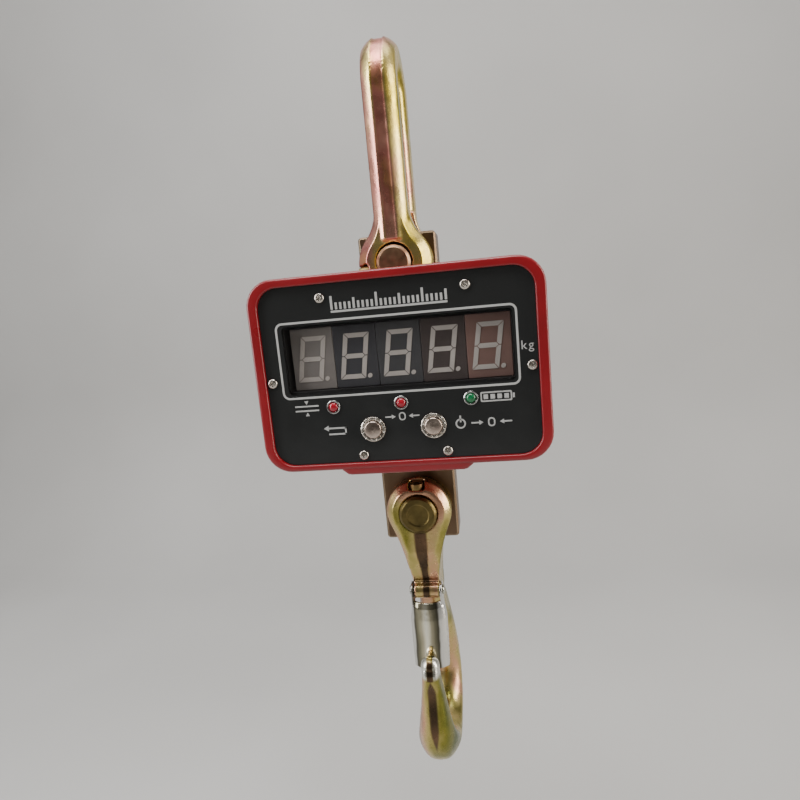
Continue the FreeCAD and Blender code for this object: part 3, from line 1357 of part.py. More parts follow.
def make_battery_tray():
    """A folded tray under and behind the battery, with short side lips."""
    low = BATTERY_TOP - BATTERY_Z
    half = BATTERY_X / 2
    floor = block(
        span(0, half + TRAY_THICK), (BATTERY_FRONT, BATTERY_BACK + TRAY_THICK), (low - TRAY_THICK, low)
    )
    back = block(
        span(0, half + TRAY_THICK),
        (BATTERY_BACK, BATTERY_BACK + TRAY_THICK),
        (low - TRAY_THICK, low + 2 * TRAY_LIP),
    )
    lips = both_sides(
        lambda side: block(
            sorted((side * half, side * (half + TRAY_THICK))), (BATTERY_FRONT, BATTERY_BACK + TRAY_THICK),
            (low - TRAY_THICK, low + TRAY_LIP),
        )
    )
    return joined([floor, back] + lips)


def make_battery_pads():
    """Foam strips between the battery tray and the cover that hold it against rattling."""
    start = BATTERY_BACK + TRAY_THICK
    low = BATTERY_TOP - BATTERY_Z
    return [
        block(
            span(side * BATTERY_X / 3, PAD_HALF_X),
            (start, COVER_SEAT),
            (low + PAD_MARGIN, low + 2 * TRAY_LIP - PAD_MARGIN),
        )
        for side in (-1, 1)
    ]


def make_battery_cover():
    depth = (COVER_SEAT, COVER_SEAT + COVER_THICK)
    body = plate(COVER_WIDTH, COVER_HEIGHT, COVER_CORNER, depth, BATTERY_MID)
    for x, z in COVER_HOLES:
        body = body.cut(
            boss(x, z, COVER_SCREW_R + SCREW_FIT, (depth[0] - OVERCUT, depth[1] + OVERCUT))
        )
        top = V(x, COVER_SEAT + COVER_THICK, z)
        sink = COVER_SCREW_HEAD_R - COVER_SCREW_R
        narrow = COVER_SCREW_R + SCREW_FIT
        wide = COVER_SCREW_HEAD_R + SCREW_FIT
        body = body.cut(taper(narrow, wide, top - Y_AXIS * sink, top))
    return body


def make_cover_screws():
    screws = []
    sink = COVER_SCREW_HEAD_R - COVER_SCREW_R
    for x, z in COVER_HOLES:
        top = V(x, COVER_SEAT + COVER_THICK - SEAT_FIT, z)
        head = taper(COVER_SCREW_R, COVER_SCREW_HEAD_R, top - Y_AXIS * sink, top)
        length = COVER_THICK + COVER_SCREW_LENGTH - OVERCUT
        shank = rod(COVER_SCREW_R, top - Y_AXIS * length, top - Y_AXIS * sink)
        screws.append(head.fuse(shank).cut(cross_recess(top, Y_AXIS * -1, *COVER_DRIVE)))
    return screws


def make_charge_socket():
    face = SOCKET_AT + V(0, 0, SOCKET_FACE)
    flange = rod(SOCKET_FLANGE_R, face - Z_AXIS * SOCKET_FLANGE_T, face)
    barrel = rod(SOCKET_R, face, face + Z_AXIS * SOCKET_LENGTH)
    bore = rod(SOCKET_BORE_R, face - Z_AXIS * 2, face + Z_AXIS * (SOCKET_LENGTH - 3.0))
    return flange.fuse(barrel).cut(bore)


def make_socket_nut():
    start = SOCKET_AT + V(0, 0, SOCKET_FACE + WALL)
    nut = hexagon(SOCKET_NUT_AF, start, start + Z_AXIS * SOCKET_NUT_T)
    return nut.cut(rod(SOCKET_R, start - Z_AXIS, start + Z_AXIS * 4))


def make_cell_lead():
    """The load cell's lead, from the front gauge cover to the main board."""
    start = V(LEAD_AT.x, -CELL_HALF_Y, LEAD_AT.z)
    return rod(LEAD_R - SEAT_FIT, start, V(start.x, MAIN_BOARD_Y + BOARD_THICK, start.z))


save("battery", make_battery())
save("battery_tray", make_battery_tray())
save("battery_pads", *make_battery_pads())
save("battery_cover", make_battery_cover())
save("battery_cover_screws", *make_cover_screws())
save("charge_socket", make_charge_socket())
save("charge_socket_nut", make_socket_nut())
save("cell_lead", make_cell_lead())
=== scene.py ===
"""Crane scale: the looks of a hanging load cell scale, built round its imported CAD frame."""

import json
import logging
import math
from dataclasses import dataclass, field
from enum import Enum
from typing import Callable, Iterable, Sequence

import bmesh
import bpy
from mathutils import Matrix, Vector


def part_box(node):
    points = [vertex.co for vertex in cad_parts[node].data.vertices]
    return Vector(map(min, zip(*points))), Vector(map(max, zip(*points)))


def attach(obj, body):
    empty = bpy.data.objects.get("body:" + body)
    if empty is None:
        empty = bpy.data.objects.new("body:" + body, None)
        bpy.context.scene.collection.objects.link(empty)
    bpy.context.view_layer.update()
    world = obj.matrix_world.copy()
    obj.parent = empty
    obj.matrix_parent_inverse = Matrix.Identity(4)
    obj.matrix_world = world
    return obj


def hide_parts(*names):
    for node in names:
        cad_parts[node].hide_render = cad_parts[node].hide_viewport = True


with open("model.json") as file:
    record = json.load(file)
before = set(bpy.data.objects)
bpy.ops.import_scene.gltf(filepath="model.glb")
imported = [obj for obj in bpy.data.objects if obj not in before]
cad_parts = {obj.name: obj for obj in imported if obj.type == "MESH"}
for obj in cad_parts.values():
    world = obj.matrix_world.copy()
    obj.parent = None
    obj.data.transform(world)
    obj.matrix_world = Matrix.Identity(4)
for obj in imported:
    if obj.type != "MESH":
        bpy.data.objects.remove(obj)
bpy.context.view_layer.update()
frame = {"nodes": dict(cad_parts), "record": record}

log = logging.getLogger("crane_scale")
MM = 0.001
Point = tuple[float, float, float]


def box_mm(node: str) -> tuple[Vector, Vector, Vector]:
    """A CAD node's low corner, middle and high corner in millimetres."""
    low, high = (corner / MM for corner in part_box(node))
    return low, (low + high) / 2, high


class Body(Enum):
    """The moving bodies that pieces ride on."""

    SHACKLE = "shackle"
    SCALE = "scale_body"
    HOOK = "hook"
    LATCH = "latch"
    BUTTON_LEFT = "button_left"
    BUTTON_RIGHT = "button_right"


class Way(Enum):
    """A direction along one of the frame's axes."""

    FRONT = (0.0, -1.0, 0.0)
    BACK = (0.0, 1.0, 0.0)
    RIGHT = (1.0, 0.0, 0.0)


# ------------------------------------------------------------------ materials


def linear(hex_colour: str) -> tuple[float, float, float, float]:
    """Turns an sRGB hex colour to linear light.

    Args:
        hex_colour: Six hex digits with a leading hash.

    Returns:
        Red, green, blue and an alpha of one.
    """
    parts = [int(hex_colour[i : i + 2], 16) / 255 for i in (1, 3, 5)]
    lit = [c / 12.92 if c <= 0.04045 else ((c + 0.055) / 1.055) ** 2.4 for c in parts]
    return (lit[0], lit[1], lit[2], 1.0)


def add_node(
    tree: bpy.types.NodeTree,
    kind: str,
    values: dict | None = None,
    links: dict | None = None,
    **settings: object,
) -> bpy.types.Node:
    """Adds one node with its settings, socket values and incoming links.

    Args:
        tree: The node tree.
        kind: The node's type name.
        values: Socket name or number to a constant.
        links: Socket name or number to the output that feeds it.
        **settings: Properties of the node itself.

    Returns:
        The new node.
    """
    node = tree.nodes.new(kind)
    for key, value in settings.items():
        setattr(node, key, value)
    for socket, value in (values or {}).items():
        node.inputs[socket].default_value = value
    for socket, source in (links or {}).items():
        tree.links.new(source, node.inputs[socket])
    return node


def ramp(
    tree: bpy.types.NodeTree, source: bpy.types.NodeSocket, stops: Sequence[tuple[float, str]]
) -> bpy.types.NodeSocket:
    """Maps a value to colours.

    Args:
        tree: The node tree.
        source: The value to map.
        stops: Positions with their hex colours, in order.

    Returns:
        The colour output.
    """
    node = add_node(tree, "ShaderNodeValToRGB", links={"Fac": source})
    band = node.color_ramp.elements
    while len(band) < len(stops):
        band.new(0.5)
    for element, (position, colour) in zip(band, stops):
        element.position = position
        element.color = linear(colour)
    return node.outputs["Color"]


def sums(
    tree: bpy.types.NodeTree, operation: str, *terms: bpy.types.NodeSocket | float
) -> bpy.types.NodeSocket:
    """Adds a sum on values; each term is an output or a constant."""
    node = add_node(tree, "ShaderNodeMath", operation=operation)
    for number, term in enumerate(terms):
        if isinstance(term, bpy.types.NodeSocket):
            tree.links.new(term, node.inputs[number])
        else:
            node.inputs[number].default_value = term
    return node.outputs[0]


def blend(
    tree: bpy.types.NodeTree,
    factor: bpy.types.NodeSocket,
    first: bpy.types.NodeSocket | Sequence[float],
    second: bpy.types.NodeSocket | Sequence[float],
) -> bpy.types.NodeSocket:
    """Mixes two colours, each an output or a constant, by a factor."""
    node = add_node(tree, "ShaderNodeMix", links={"Factor": factor}, data_type="RGBA")
    for number, colour in ((6, first), (7, second)):
        if isinstance(colour, bpy.types.NodeSocket):
            tree.links.new(colour, node.inputs[number])
        else:
            node.inputs[number].default_value = colour
    return node.outputs[2]


def scaled(hex_colour: str, factor: float) -> tuple[float, float, float, float]:
    """A linear colour made lighter or darker, never past full."""
    return tuple(min(c * factor, 1.0) for c in linear(hex_colour)[:3]) + (1.0,)


def attribute(tree: bpy.types.NodeTree, name: str) -> bpy.types.NodeSocket:
    """Reads a value that a piece stores at its points."""
    return add_node(tree, "ShaderNodeAttribute", attribute_name=name).outputs["Fac"]


def parts(tree: bpy.types.NodeTree, vector: bpy.types.NodeSocket) -> bpy.types.bpy_prop_collection:
    """Splits a vector into its three outputs."""
    return add_node(tree, "ShaderNodeSeparateXYZ", links={"Vector": vector}).outputs


@dataclass(frozen=True)
class Finish:
    """A surface finish; kinds of finish add their own detail to the shader."""

    name: str
    colour: str
    roughness: float = 0.5
    metallic: float = 0.0

    def material(self) -> bpy.types.Material:
        """Builds the material once and returns the same one afterwards."""
        made = bpy.data.materials.get(self.name)
        if made is None:
            made = bpy.data.materials.new(self.name)
            made.use_nodes = True
            tree = made.node_tree
            tree.nodes.clear()
            shader = add_node(
                tree,
                "ShaderNodeBsdfPrincipled",
                {
                    "Base Color": linear(self.colour),
                    "Roughness": self.roughness,
                    "Metallic": self.metallic,
                },
            )
            add_node(tree, "ShaderNodeOutputMaterial", links={"Surface": shader.outputs[0]})
            self.detail(tree, shader)
        return made

    def detail(self, tree: bpy.types.NodeTree, shader: bpy.types.Node) -> None:
        """Adds what the eye sees beyond one colour; each kind of finish has its own."""

    def noise(
        self, tree: bpy.types.NodeTree, size_mm: float, stretch: Point = (1, 1, 1), fine: float = 3.0
    ) -> bpy.types.NodeSocket:
        """A cloudy pattern in object space.

        Args:
            tree: The node tree.
            size_mm: The size of one patch.
            stretch: How many times longer patches are along each axis.
            fine: Levels of finer detail.

        Returns:
            The pattern's value.
        """
        place = add_node(tree, "ShaderNodeTexCoord").outputs["Object"]
        scale = tuple(1 / (size_mm * MM * s) for s in stretch)
        mapped = add_node(tree, "ShaderNodeMapping", {"Scale": scale}, {"Vector": place})
        cloud = add_node(
            tree,
            "ShaderNodeTexNoise",
            {"Scale": 1.0, "Detail": fine},
            {"Vector": mapped.outputs[0]},
        )
        return cloud.outputs["Fac"]

    def vary_roughness(
        self, tree: bpy.types.NodeTree, shader: bpy.types.Node, size_mm: float, low: float, high: float
    ) -> None:
        """Lets the gloss wander between two roughnesses over patches of a size."""
        spread = add_node(
            tree,
            "ShaderNodeMapRange",
            {"From Min": 0.3, "From Max": 0.7, "To Min": low, "To Max": high},
            {"Value": self.noise(tree, size_mm)},
        )
        tree.links.new(spread.outputs[0], shader.inputs["Roughness"])

    def raise_grain(
        self,
        tree: bpy.types.NodeTree,
        shader: bpy.types.Node,
        height: bpy.types.NodeSocket,
        depth_mm: float,
        edge_mm: float = 0.0,
    ) -> None:
        """Turns a pattern into a bump of a real depth, over an optional softened edge."""
        links = {"Height": height}
        if edge_mm > 0:
            edge = add_node(tree, "ShaderNodeBevel", {"Radius": edge_mm * MM}, samples=6)
            links["Normal"] = edge.outputs[0]
        bump = add_node(tree, "ShaderNodeBump", {"Distance": depth_mm * MM}, links)
        tree.links.new(bump.outputs[0], shader.inputs["Normal"])


@dataclass(frozen=True)
class ChromatedForging(Finish):
    """Drop-forged steel, yellow chromated over zinc.

    The chromate film is thin enough to show interference colours: gold with pink and green patches over
    the soft dimples of forging scale. On top of that the colour is a painted reflection that follows
    the way a face points across X: faces turned left move towards the pink, faces turned right towards
    gold and green.
    """

    # stops over the film's random patches, shifted by the painted reflection that follows the face's X
    # direction
    stops: tuple[tuple[float, str], ...] = (
        (0.14, "#7F8A34"),
        (0.30, "#CDB648"),
        (0.44, "#E0C983"),
        (0.56, "#DFA38C"),
        (0.70, "#B4706A"),
        (0.88, "#C6A04C"),
    )
    patch_mm: float = 26.0
    scale_mm: float = 2.2
    strip_dark: str = "#BE9058"
    strip_colour: str = "#D88A7C"
    strip_pale: str = "#E0A48E"
    # pale silver of the painted highlight on the hook's tip
    pale_highlight: str = "#DAD8CE"

    def detail(self, tree: bpy.types.NodeTree, shader: bpy.types.Node) -> None:
        """Adds the interference colours with their painted reflection, the flash line's darker strip, a
        painted highlight and the forging scale.
        """
        patches = self.noise(tree, self.patch_mm, (1, 1, 2.2), 4.0)
        normal = add_node(tree, "ShaderNodeNewGeometry").outputs["Normal"]
        # painted reflection: faces turned left and right take different colours, as bright light on
        # either side would give
        painted_reflection_shift = sums(tree, "MULTIPLY_ADD", parts(tree, normal)["X"], -0.16, 0.0)
        film = ramp(tree, sums(tree, "ADD", patches, painted_reflection_shift), self.stops)
        mottle = ramp(
            tree,
            self.noise(tree, 14, (1, 1, 2)),
            ((0.3, self.strip_dark), (0.5, self.strip_colour), (0.72, self.strip_pale)),
        )
        marked = blend(tree, attribute(tree, "strip"), film, mottle)
        # painted highlight: the points the hook marks turn pale silver
        highlighted_colour = blend(tree, attribute(tree, "tip_highlight"), marked, linear(self.pale_highlight))
        tree.links.new(highlighted_colour, shader.inputs["Base Color"])
        self.vary_roughness(tree, shader, 9.0, self.roughness * 0.75, self.roughness * 1.3)
        self.raise_grain(tree, shader, self.noise(tree, self.scale_mm, fine=5.0), 0.10)


@dataclass(frozen=True)
class TurnedChromate(Finish):
    """Turned steel, yellow chromated: tool rings on the ends under a thin uneven film."""

    second: str = "#8A8A48"
    centre: Point = (0.0, 0.0, 0.0)
    ring_mm: float = 0.9

    def detail(self, tree: bpy.types.NodeTree, shader: bpy.types.Node) -> None:
        """Adds film patches and concentric tool marks about the pin's axis."""
        film = ramp(tree, self.noise(tree, 7.0), ((0.32, self.colour), (0.68, self.second)))
        tree.links.new(film, shader.inputs["Base Color"])
        self.vary_roughness(tree, shader, 4.0, self.roughness * 0.8, self.roughness * 1.3)
        place = add_node(tree, "ShaderNodeTexCoord").outputs["Object"]
        from_axis = add_node(
            tree, "ShaderNodeVectorMath", {1: self.centre}, {0: place}, operation="SUBTRACT"
        )
        rings = add_node(
            tree,
            "ShaderNodeTexWave",
            {"Scale": 1 / (self.ring_mm * MM) / 20, "Distortion": 0.4},
            {"Vector": from_axis.outputs[0]},
            wave_type="RINGS",
            rings_direction="Y",
        )
        self.raise_grain(tree, shader, rings.outputs["Fac"], 0.03, 0.3)


@dataclass(frozen=True)
class GroundPlating(Finish):
    """Ground alloy steel under a satin brown plating.

    Grinding leaves fine lines along the load; the edges and corners are painted paler, a painted
    highlight.
    """

    # pale colour of the painted highlight on edges and corners
    pale_highlight: str = "#B9A88C"
    grain_mm: float = 0.5
    blotch_mm: float = 30.0

    def detail(self, tree: bpy.types.NodeTree, shader: bpy.types.Node) -> None:
        """Adds blotches, lengthwise grinding lines and a painted highlight along the edges."""
        tone = ramp(
            tree,
            self.noise(tree, self.blotch_mm, (1, 1, 2.5)),
            ((0.3, "#5A4634"), (0.5, self.colour), (0.72, "#94806A")),
        )
        # painted highlight: where the softened normal turns away from the true one, at the edges, the
        # colour goes pale
        pointy = add_node(tree, "ShaderNodeBevel", {"Radius": 1.2 * MM}, samples=6).outputs[0]
        normal = add_node(tree, "ShaderNodeNewGeometry").outputs["Normal"]
        agree = add_node(
            tree, "ShaderNodeVectorMath", links={0: pointy, 1: normal}, operation="DOT_PRODUCT"
        )
        edge = add_node(
            tree,
            "ShaderNodeMapRange",
            {"From Min": 0.999, "From Max": 0.93, "To Min": 0.0, "To Max": 0.8},
            {"Value": agree.outputs["Value"]},
        )
        pale_highlight = blend(tree, edge.outputs[0], tone, linear(self.pale_highlight))
        tree.links.new(pale_highlight, shader.inputs["Base Color"])
        self.vary_roughness(tree, shader, 12.0, self.roughness * 0.85, self.roughness * 1.2)
        lines = self.noise(tree, self.grain_mm, (1, 1, 40), 2.0)
        self.raise_grain(tree, shader, lines, 0.02, 0.8)


@dataclass(frozen=True)
class BakedEnamel(Finish):
    """Die-cast aluminium under baked red enamel: deep gloss with a faint orange peel."""

    peel_mm: float = 2.6

    def detail(self, tree: bpy.types.NodeTree, shader: bpy.types.Node) -> None:
        """Adds a clear coat, slow tone changes, and the peel that wobbles reflections."""
        tone = ramp(
            tree, self.noise(tree, 45.0), ((0.3, "#7E0B14"), (0.55, self.colour), (0.75, "#92131C"))
        )
        tree.links.new(tone, shader.inputs["Base Color"])
        shader.inputs["Coat Weight"].default_value = 0.5
        shader.inputs["Coat Roughness"].default_value = 0.12
        self.vary_roughness(tree, shader, 30.0, self.roughness * 0.9, self.roughness * 1.15)
        self.raise_grain(tree, shader, self.noise(tree, self.peel_mm, fine=1.0), 0.035, 0.7)


@dataclass(frozen=True)
class GlossSheet(Finish):
    """Black gloss acrylic sheet: near-mirror gloss with slow waves and a little dust."""

    wave_mm: float = 22.0

    def detail(self, tree: bpy.types.NodeTree, shader: bpy.types.Node) -> None:
        """Adds gloss that wanders and a barely wavy surface."""
        dust = ramp(tree, self.noise(tree, 0.9, fine=2.0), ((0.66, self.colour), (0.9, "#383A3A")))
        tree.links.new(dust, shader.inputs["Base Color"])
        self.vary_roughness(tree, shader, 16.0, self.roughness * 0.6, self.roughness * 1.6)
        self.raise_grain(tree, shader, self.noise(tree, self.wave_mm, fine=1.0), 0.12)


@dataclass(frozen=True)
class SmokedSheet(Finish):
    """Smoked acrylic pane: the digits behind show through a brown-grey tint."""

    alpha: float = 0.14

    def detail(self, tree: bpy.types.NodeTree, shader: bpy.types.Node) -> None:
        """Lets light through and adds the sheet's slow waves."""
        shader.inputs["Alpha"].default_value = self.alpha
        shader.inputs["IOR"].default_value = 1.49
        self.raise_grain(tree, shader, self.noise(tree, 30.0, fine=1.0), 0.08)


@dataclass(frozen=True)
class Moulded(Finish):
    """Injection-moulded plastic: even colour under a fine spark-eroded grain."""

    grain_mm: float = 0.6
    depth_mm: float = 0.02

    def detail(self, tree: bpy.types.NodeTree, shader: bpy.types.Node) -> None:
        """Adds a slight tone change, the moulded grain and softened edges."""
        grain = self.noise(tree, self.grain_mm, fine=2.0)
        dark, pale = scaled(self.colour, 0.82), scaled(self.colour, 1.15)
        tone = blend(tree, self.noise(tree, 12.0), dark, pale)
        tree.links.new(tone, shader.inputs["Base Color"])
        self.raise_grain(tree, shader, grain, self.depth_mm, 0.25)


@dataclass(frozen=True)
class Plated(Finish):
    """Bright plated metal: a mirror dulled by handling, with faint drawn lines."""

    second: str = "#8C8884"
    grain_mm: float = 0.4
    stretch: Point = (1.0, 1.0, 12.0)
    patch_mm: float = 8.0

    def detail(self, tree: bpy.types.NodeTree, shader: bpy.types.Node) -> None:
        """Adds handling marks, a second tone and fine lines."""
        tone = ramp(tree, self.noise(tree, self.patch_mm), ((0.3, self.second), (0.6, self.colour)))
        tree.links.new(tone, shader.inputs["Base Color"])
        self.vary_roughness(tree, shader, self.patch_mm / 2, self.roughness * 0.7, self.roughness * 1.5)
        lines = self.noise(tree, self.grain_mm, self.stretch, 2.0)
        self.raise_grain(tree, shader, lines, 0.012, 0.3)


@dataclass(frozen=True)
class PressedSheet(Plated):
    """Deep-pressed steel sheet under bright zinc.

    The colour is a painted reflection in bands across the channel: brightest just left of the middle,
    dull towards the bends, and bright again at the outer corners.
    """

    half_mm: float = 10.5
    offset_mm: float = 1.6
    wander: float = 0.28
    # colours of the painted reflection, from the middle of the channel out to the flanges
    reflection_bands: tuple[tuple[float, str], ...] = (
        (0.0, "#FFFCEA"),
        (0.14, "#F2ECD4"),
        (0.30, "#B2AB92"),
        (0.55, "#7E7A66"),
        (0.82, "#4C493E"),
        (0.95, "#D2D1CC"),
    )

    def detail(self, tree: bpy.types.NodeTree, shader: bpy.types.Node) -> None:
        """Adds the painted reflection bands across the channel over the plating's own marks."""
        super().detail(tree, shader)
        # painted reflection: the colour is set by distance across the channel, bright in the middle,
        # dark towards the bends, bright at the flanges
        place = add_node(tree, "ShaderNodeTexCoord").outputs["Object"]
        apart = sums(tree, "ABSOLUTE", sums(tree, "ADD", parts(tree, place)["X"], self.offset_mm * MM))
        share = sums(tree, "MULTIPLY_ADD", apart, 1 / (self.half_mm * MM), -self.wander / 2)
        patches = self.noise(tree, self.patch_mm, (1, 1, 2))
        band = sums(tree, "MULTIPLY_ADD", patches, self.wander, share)
        tree.links.new(ramp(tree, band, self.reflection_bands), shader.inputs["Base Color"])


@dataclass(frozen=True)
class LampLens(Finish):
    """Diffused epoxy lamp lens, unlit: dark, wet-looking and slightly deep."""

    def detail(self, tree: bpy.types.NodeTree, shader: bpy.types.Node) -> None:
        """Adds depth under the surface and patches of lighter and darker colour."""
        shader.inputs["Subsurface Weight"].default_value = 0.4
        shader.inputs["Subsurface Radius"].default_value = (0.002, 0.001, 0.001)
        shader.inputs["Subsurface Scale"].default_value = 1.0
        shader.inputs["Coat Weight"].default_value = 0.6
        dark, pale = scaled(self.colour, 0.6), scaled(self.colour, 1.5)
        tree.links.new(blend(tree, self.noise(tree, 2.0), dark, pale), shader.inputs["Base Color"])
        self.raise_grain(tree, shader, self.noise(tree, 1.0, fine=1.0), 0.02)


@dataclass(frozen=True)
class PlainStage(Finish):
    """Matt pale paper for the floor and the wall behind."""

    def detail(self, tree: bpy.types.NodeTree, shader: bpy.types.Node) -> None:
        """Adds the faintest tone change."""
        tone = ramp(tree, self.noise(tree, 700.0), ((0.3, self.colour), (0.7, "#BDBCBA")))
        tree.links.new(tone, shader.inputs["Base Color"])


FORGED = ChromatedForging("yellow_chromated_forging", "#CDB870", 0.27, 1.0)
FORGED_OLIVE = ChromatedForging(
    "olive_chromated_forging",
    "#A89A5E",
    0.27,
    1.0,
    (
        (0.14, "#4A5626"),
        (0.32, "#858038"),
        (0.44, "#C2B070"),
        (0.55, "#D0A082"),
        (0.68, "#8E6A4C"),
        (0.88, "#968048"),
    ),
    30.0,
    2.2,
    "#3A3026",
    "#544434",
    "#6E5642",
)
PRESSED_ZINC = Plated(
    "bright_zinc_pressed_steel", "#B9B8AA", 0.13, 1.0, "#9A9A86", 0.6, (1, 1, 14), 34.0
)
# latch: bright zinc under a painted reflection across the channel
LATCH_SHEET = PressedSheet(
    "zinc_sheet_painted_reflection", "#B9B8AA", 0.16, 1.0, "#9A9A86", 0.6, (1, 1, 14), 12.0
)
GROUND_CELL = GroundPlating("brown_plated_ground_steel", "#7A6450", 0.38, 1.0)
ENAMEL = BakedEnamel("red_baked_enamel", "#880E18", 0.3)
BLACK_SHEET = GlossSheet("black_gloss_acrylic", "#242525", 0.15)
SMOKED = SmokedSheet("smoked_acrylic", "#1A1717", 0.05)
INK = Moulded("grey_screen_ink", "#B4B4B2", 0.45, grain_mm=0.3, depth_mm=0.004)
RUBBER = Moulded("black_nitrile_rubber", "#1B1B1B", 0.72, grain_mm=0.8, depth_mm=0.04)
NICKEL = Plated("nickel_plated_steel", "#CFC8BE", 0.2, 1.0, "#A39A90", 0.3, (1, 1, 1), 6.0)
CAP_METAL = Plated("satin_nickel_cap", "#D0BFB2", 0.22, 1.0, "#A8978C", 0.4, (1, 1, 1), 9.0)
CHROME = Plated("bright_chrome", "#CFCFCD", 0.12, 1.0, "#9A9A98", 0.3, (1, 1, 1), 4.0)
BLACK_PLASTIC = Moulded("black_moulded_abs", "#161617", 0.5)
SEGMENT = Moulded("unlit_diffuser_epoxy", "#C9C1BA", 0.42, grain_mm=0.5, depth_mm=0.01)
RED_LENS = LampLens("red_epoxy_lens", "#A01226", 0.12)
GREEN_LENS = LampLens("green_epoxy_lens", "#0C6A3C", 0.12)

SLOT_FINISH: dict[str, Finish] = {
    "forged_yellow_zinc": FORGED,
    "load_cell_steel": GROUND_CELL,
    "gauge_foil": Plated("constantan_foil", "#C09A5A", 0.3, 1.0, "#8F7443"),
    "bright_zinc": PRESSED_ZINC,
    "spring_steel": Plated("drawn_spring_steel", "#8E9092", 0.3, 1.0, "#5E6062"),
    "red_enamel": ENAMEL,
    "black_rubber": RUBBER,
    "screw_nickel": NICKEL,
    "spacer_brass": Plated("turned_brass", "#C2A05C", 0.3, 1.0, "#93783F"),
    "black_panel": BLACK_SHEET,
    "smoked_window": SMOKED,
    "shroud_black": BLACK_PLASTIC,
    "digit_grey": BLACK_PLASTIC,
    "circuit_board": Moulded("green_solder_mask", "#1F5A34", 0.35, grain_mm=1.2),
    "led_red": RED_LENS,
    "led_green": GREEN_LENS,
    "bezel_chrome": CHROME,
    "button_nickel": CAP_METAL,
    "battery_case": Moulded("grey_battery_abs", "#2A2A2C", 0.5),
    "tray_steel": PRESSED_ZINC,
    "foam_grey": Moulded("closed_cell_foam", "#4A4A4A", 0.9, grain_mm=1.5, depth_mm=0.2),
    "socket_black": Moulded("black_nylon", "#1D1D1D", 0.4),
    "lead_sheath": RUBBER,
}


# ------------------------------------------------------------------ mesh building


class Form:
    """A mesh being built, in millimetres."""

    def __init__(self) -> None:
        """Starts with no points and no faces."""
        self.points: list[Point] = []
        self.faces: list[tuple[int, ...]] = []

    def ring(self, points: Iterable[Point]) -> list[int]:
        """Adds points and returns their numbers."""
        start = len(self.points)
        self.points.extend(tuple(p) for p in points)
        return list(range(start, len(self.points)))

    def loft(
        self, rings: Sequence[Sequence[Point]], capped: bool = True, around: bool = False
    ) -> None:
        """Joins closed rings of equal length one after the other.

        Args:
            rings: The rings, each a list of points.
            capped: Whether the first and last ring are closed with a face.
            around: Whether the last ring joins back to the first.
        """
        numbered = [self.ring(r) for r in rings]
        pairs = list(zip(numbered, numbered[1:]))
        if around:
            pairs.append((numbered[-1], numbered[0]))
        for a, b in pairs:
            for i in range(len(a)):
                j = (i + 1) % len(a)
                self.faces.append((a[i], a[j], b[j], b[i]))
        if capped and not around:
            self.faces.append(tuple(reversed(numbered[0])))
            self.faces.append(tuple(numbered[-1]))

    def lathe(
        self,
        profile: Sequence[tuple[float, float]],
        centre: Point,
        way: Way = Way.FRONT,
        steps: int = 48,
        shape: Callable[[int, float, float], tuple[float, float]] | None = None,
    ) -> None:
        """Turns a profile of (radius, distance along the axis) about an axis.

        Args:
            profile: The profile from one end to the other; radius 0 closes an end.
            centre: Where distance 0 lies.
            way: The direction of growing distance.
            steps: Points round each ring.
            shape: Optional change of radius and distance by step number.
        """
        axis = Vector(way.value)
        side = axis.orthogonal().normalized()
        up = axis.cross(side)
        rings = []
        for radius, along in profile:
            ring = []
            for i in range(steps):
                turn = 2 * math.pi * i / steps
                r, h = shape(i, radius, along) if shape else (radius, along)
                out = side * math.cos(turn) + up * math.sin(turn)
                ring.append(tuple(Vector(centre) + axis * h + out * max(r, 0.001)))
            rings.append(ring)
        self.loft(rings)

    def block(self, x: tuple[float, float], y: tuple[float, float], z: tuple[float, float]) -> None:
        """Adds a box from its three ranges."""
        low = [(x[0], y[0], z[0]), (x[1], y[0], z[0]), (x[1], y[1], z[0]), (x[0], y[1], z[0])]
        self.loft([low, [(p[0], p[1], z[1]) for p in low]])

    def sheet(self, outline: Sequence[tuple[float, float]], y: tuple[float, float]) -> None:
        """Adds a flat shape, given as (x, z) points, between two depths."""
        self.loft([[(a, y[0], b) for a, b in outline], [(a, y[1], b) for a, b in outline]])

    def band(
        self,
        outer: Sequence[tuple[float, float]],
        inner: Sequence[tuple[float, float]],
        y: tuple[float, float],
    ) -> None:
        """Adds a flat ring between two outlines of equal length."""
        self.loft(
            [
                [(a, y[0], b) for a, b in outer],
                [(a, y[1], b) for a, b in outer],
                [(a, y[1], b) for a, b in inner],
                [(a, y[0], b) for a, b in inner],
            ],
            around=True,
        )

    def mesh(self, name: str) -> bpy.types.Mesh:
        """Makes the mesh in metres, with its faces turned outwards."""
        made = bpy.data.meshes.new(name)
        made.from_pydata([tuple(c * MM for c in p) for p in self.points], [], self.faces)
        work = bmesh.new()
        work.from_mesh(made)
        bmesh.ops.remove_doubles(work, verts=work.verts, dist=1e-7)
        bmesh.ops.recalc_face_normals(work, faces=work.faces)
        work.to_mesh(made)
        work.free()
        return made


def rounded(
    width: float, height: float, corner: float, z: float = 0.0, x: float = 0.0, steps: int = 8
) -> list[tuple[float, float]]:
    """The outline of a rounded rectangle as (x, z) points.

    Args:
        width: Size along X.
        height: Size along Z.
        corner: Corner radius.
        z: Middle height.
        x: Middle along X.
        steps: Spans in each corner's arc.

    Returns:
        The points, anticlockwise from the right.
    """
    out = []
    for quarter in range(4):
        sx = (1, -1, -1, 1)[quarter]
        sz = (1, 1, -1, -1)[quarter]
        for i in range(steps + 1):
            turn = math.radians(90 * (quarter + i / steps))
            out.append(
                (
                    x + sx * (width / 2 - corner) + corner * math.cos(turn),
                    z + sz * (height / 2 - corner) + corner * math.sin(turn),
                )
            )
    return out


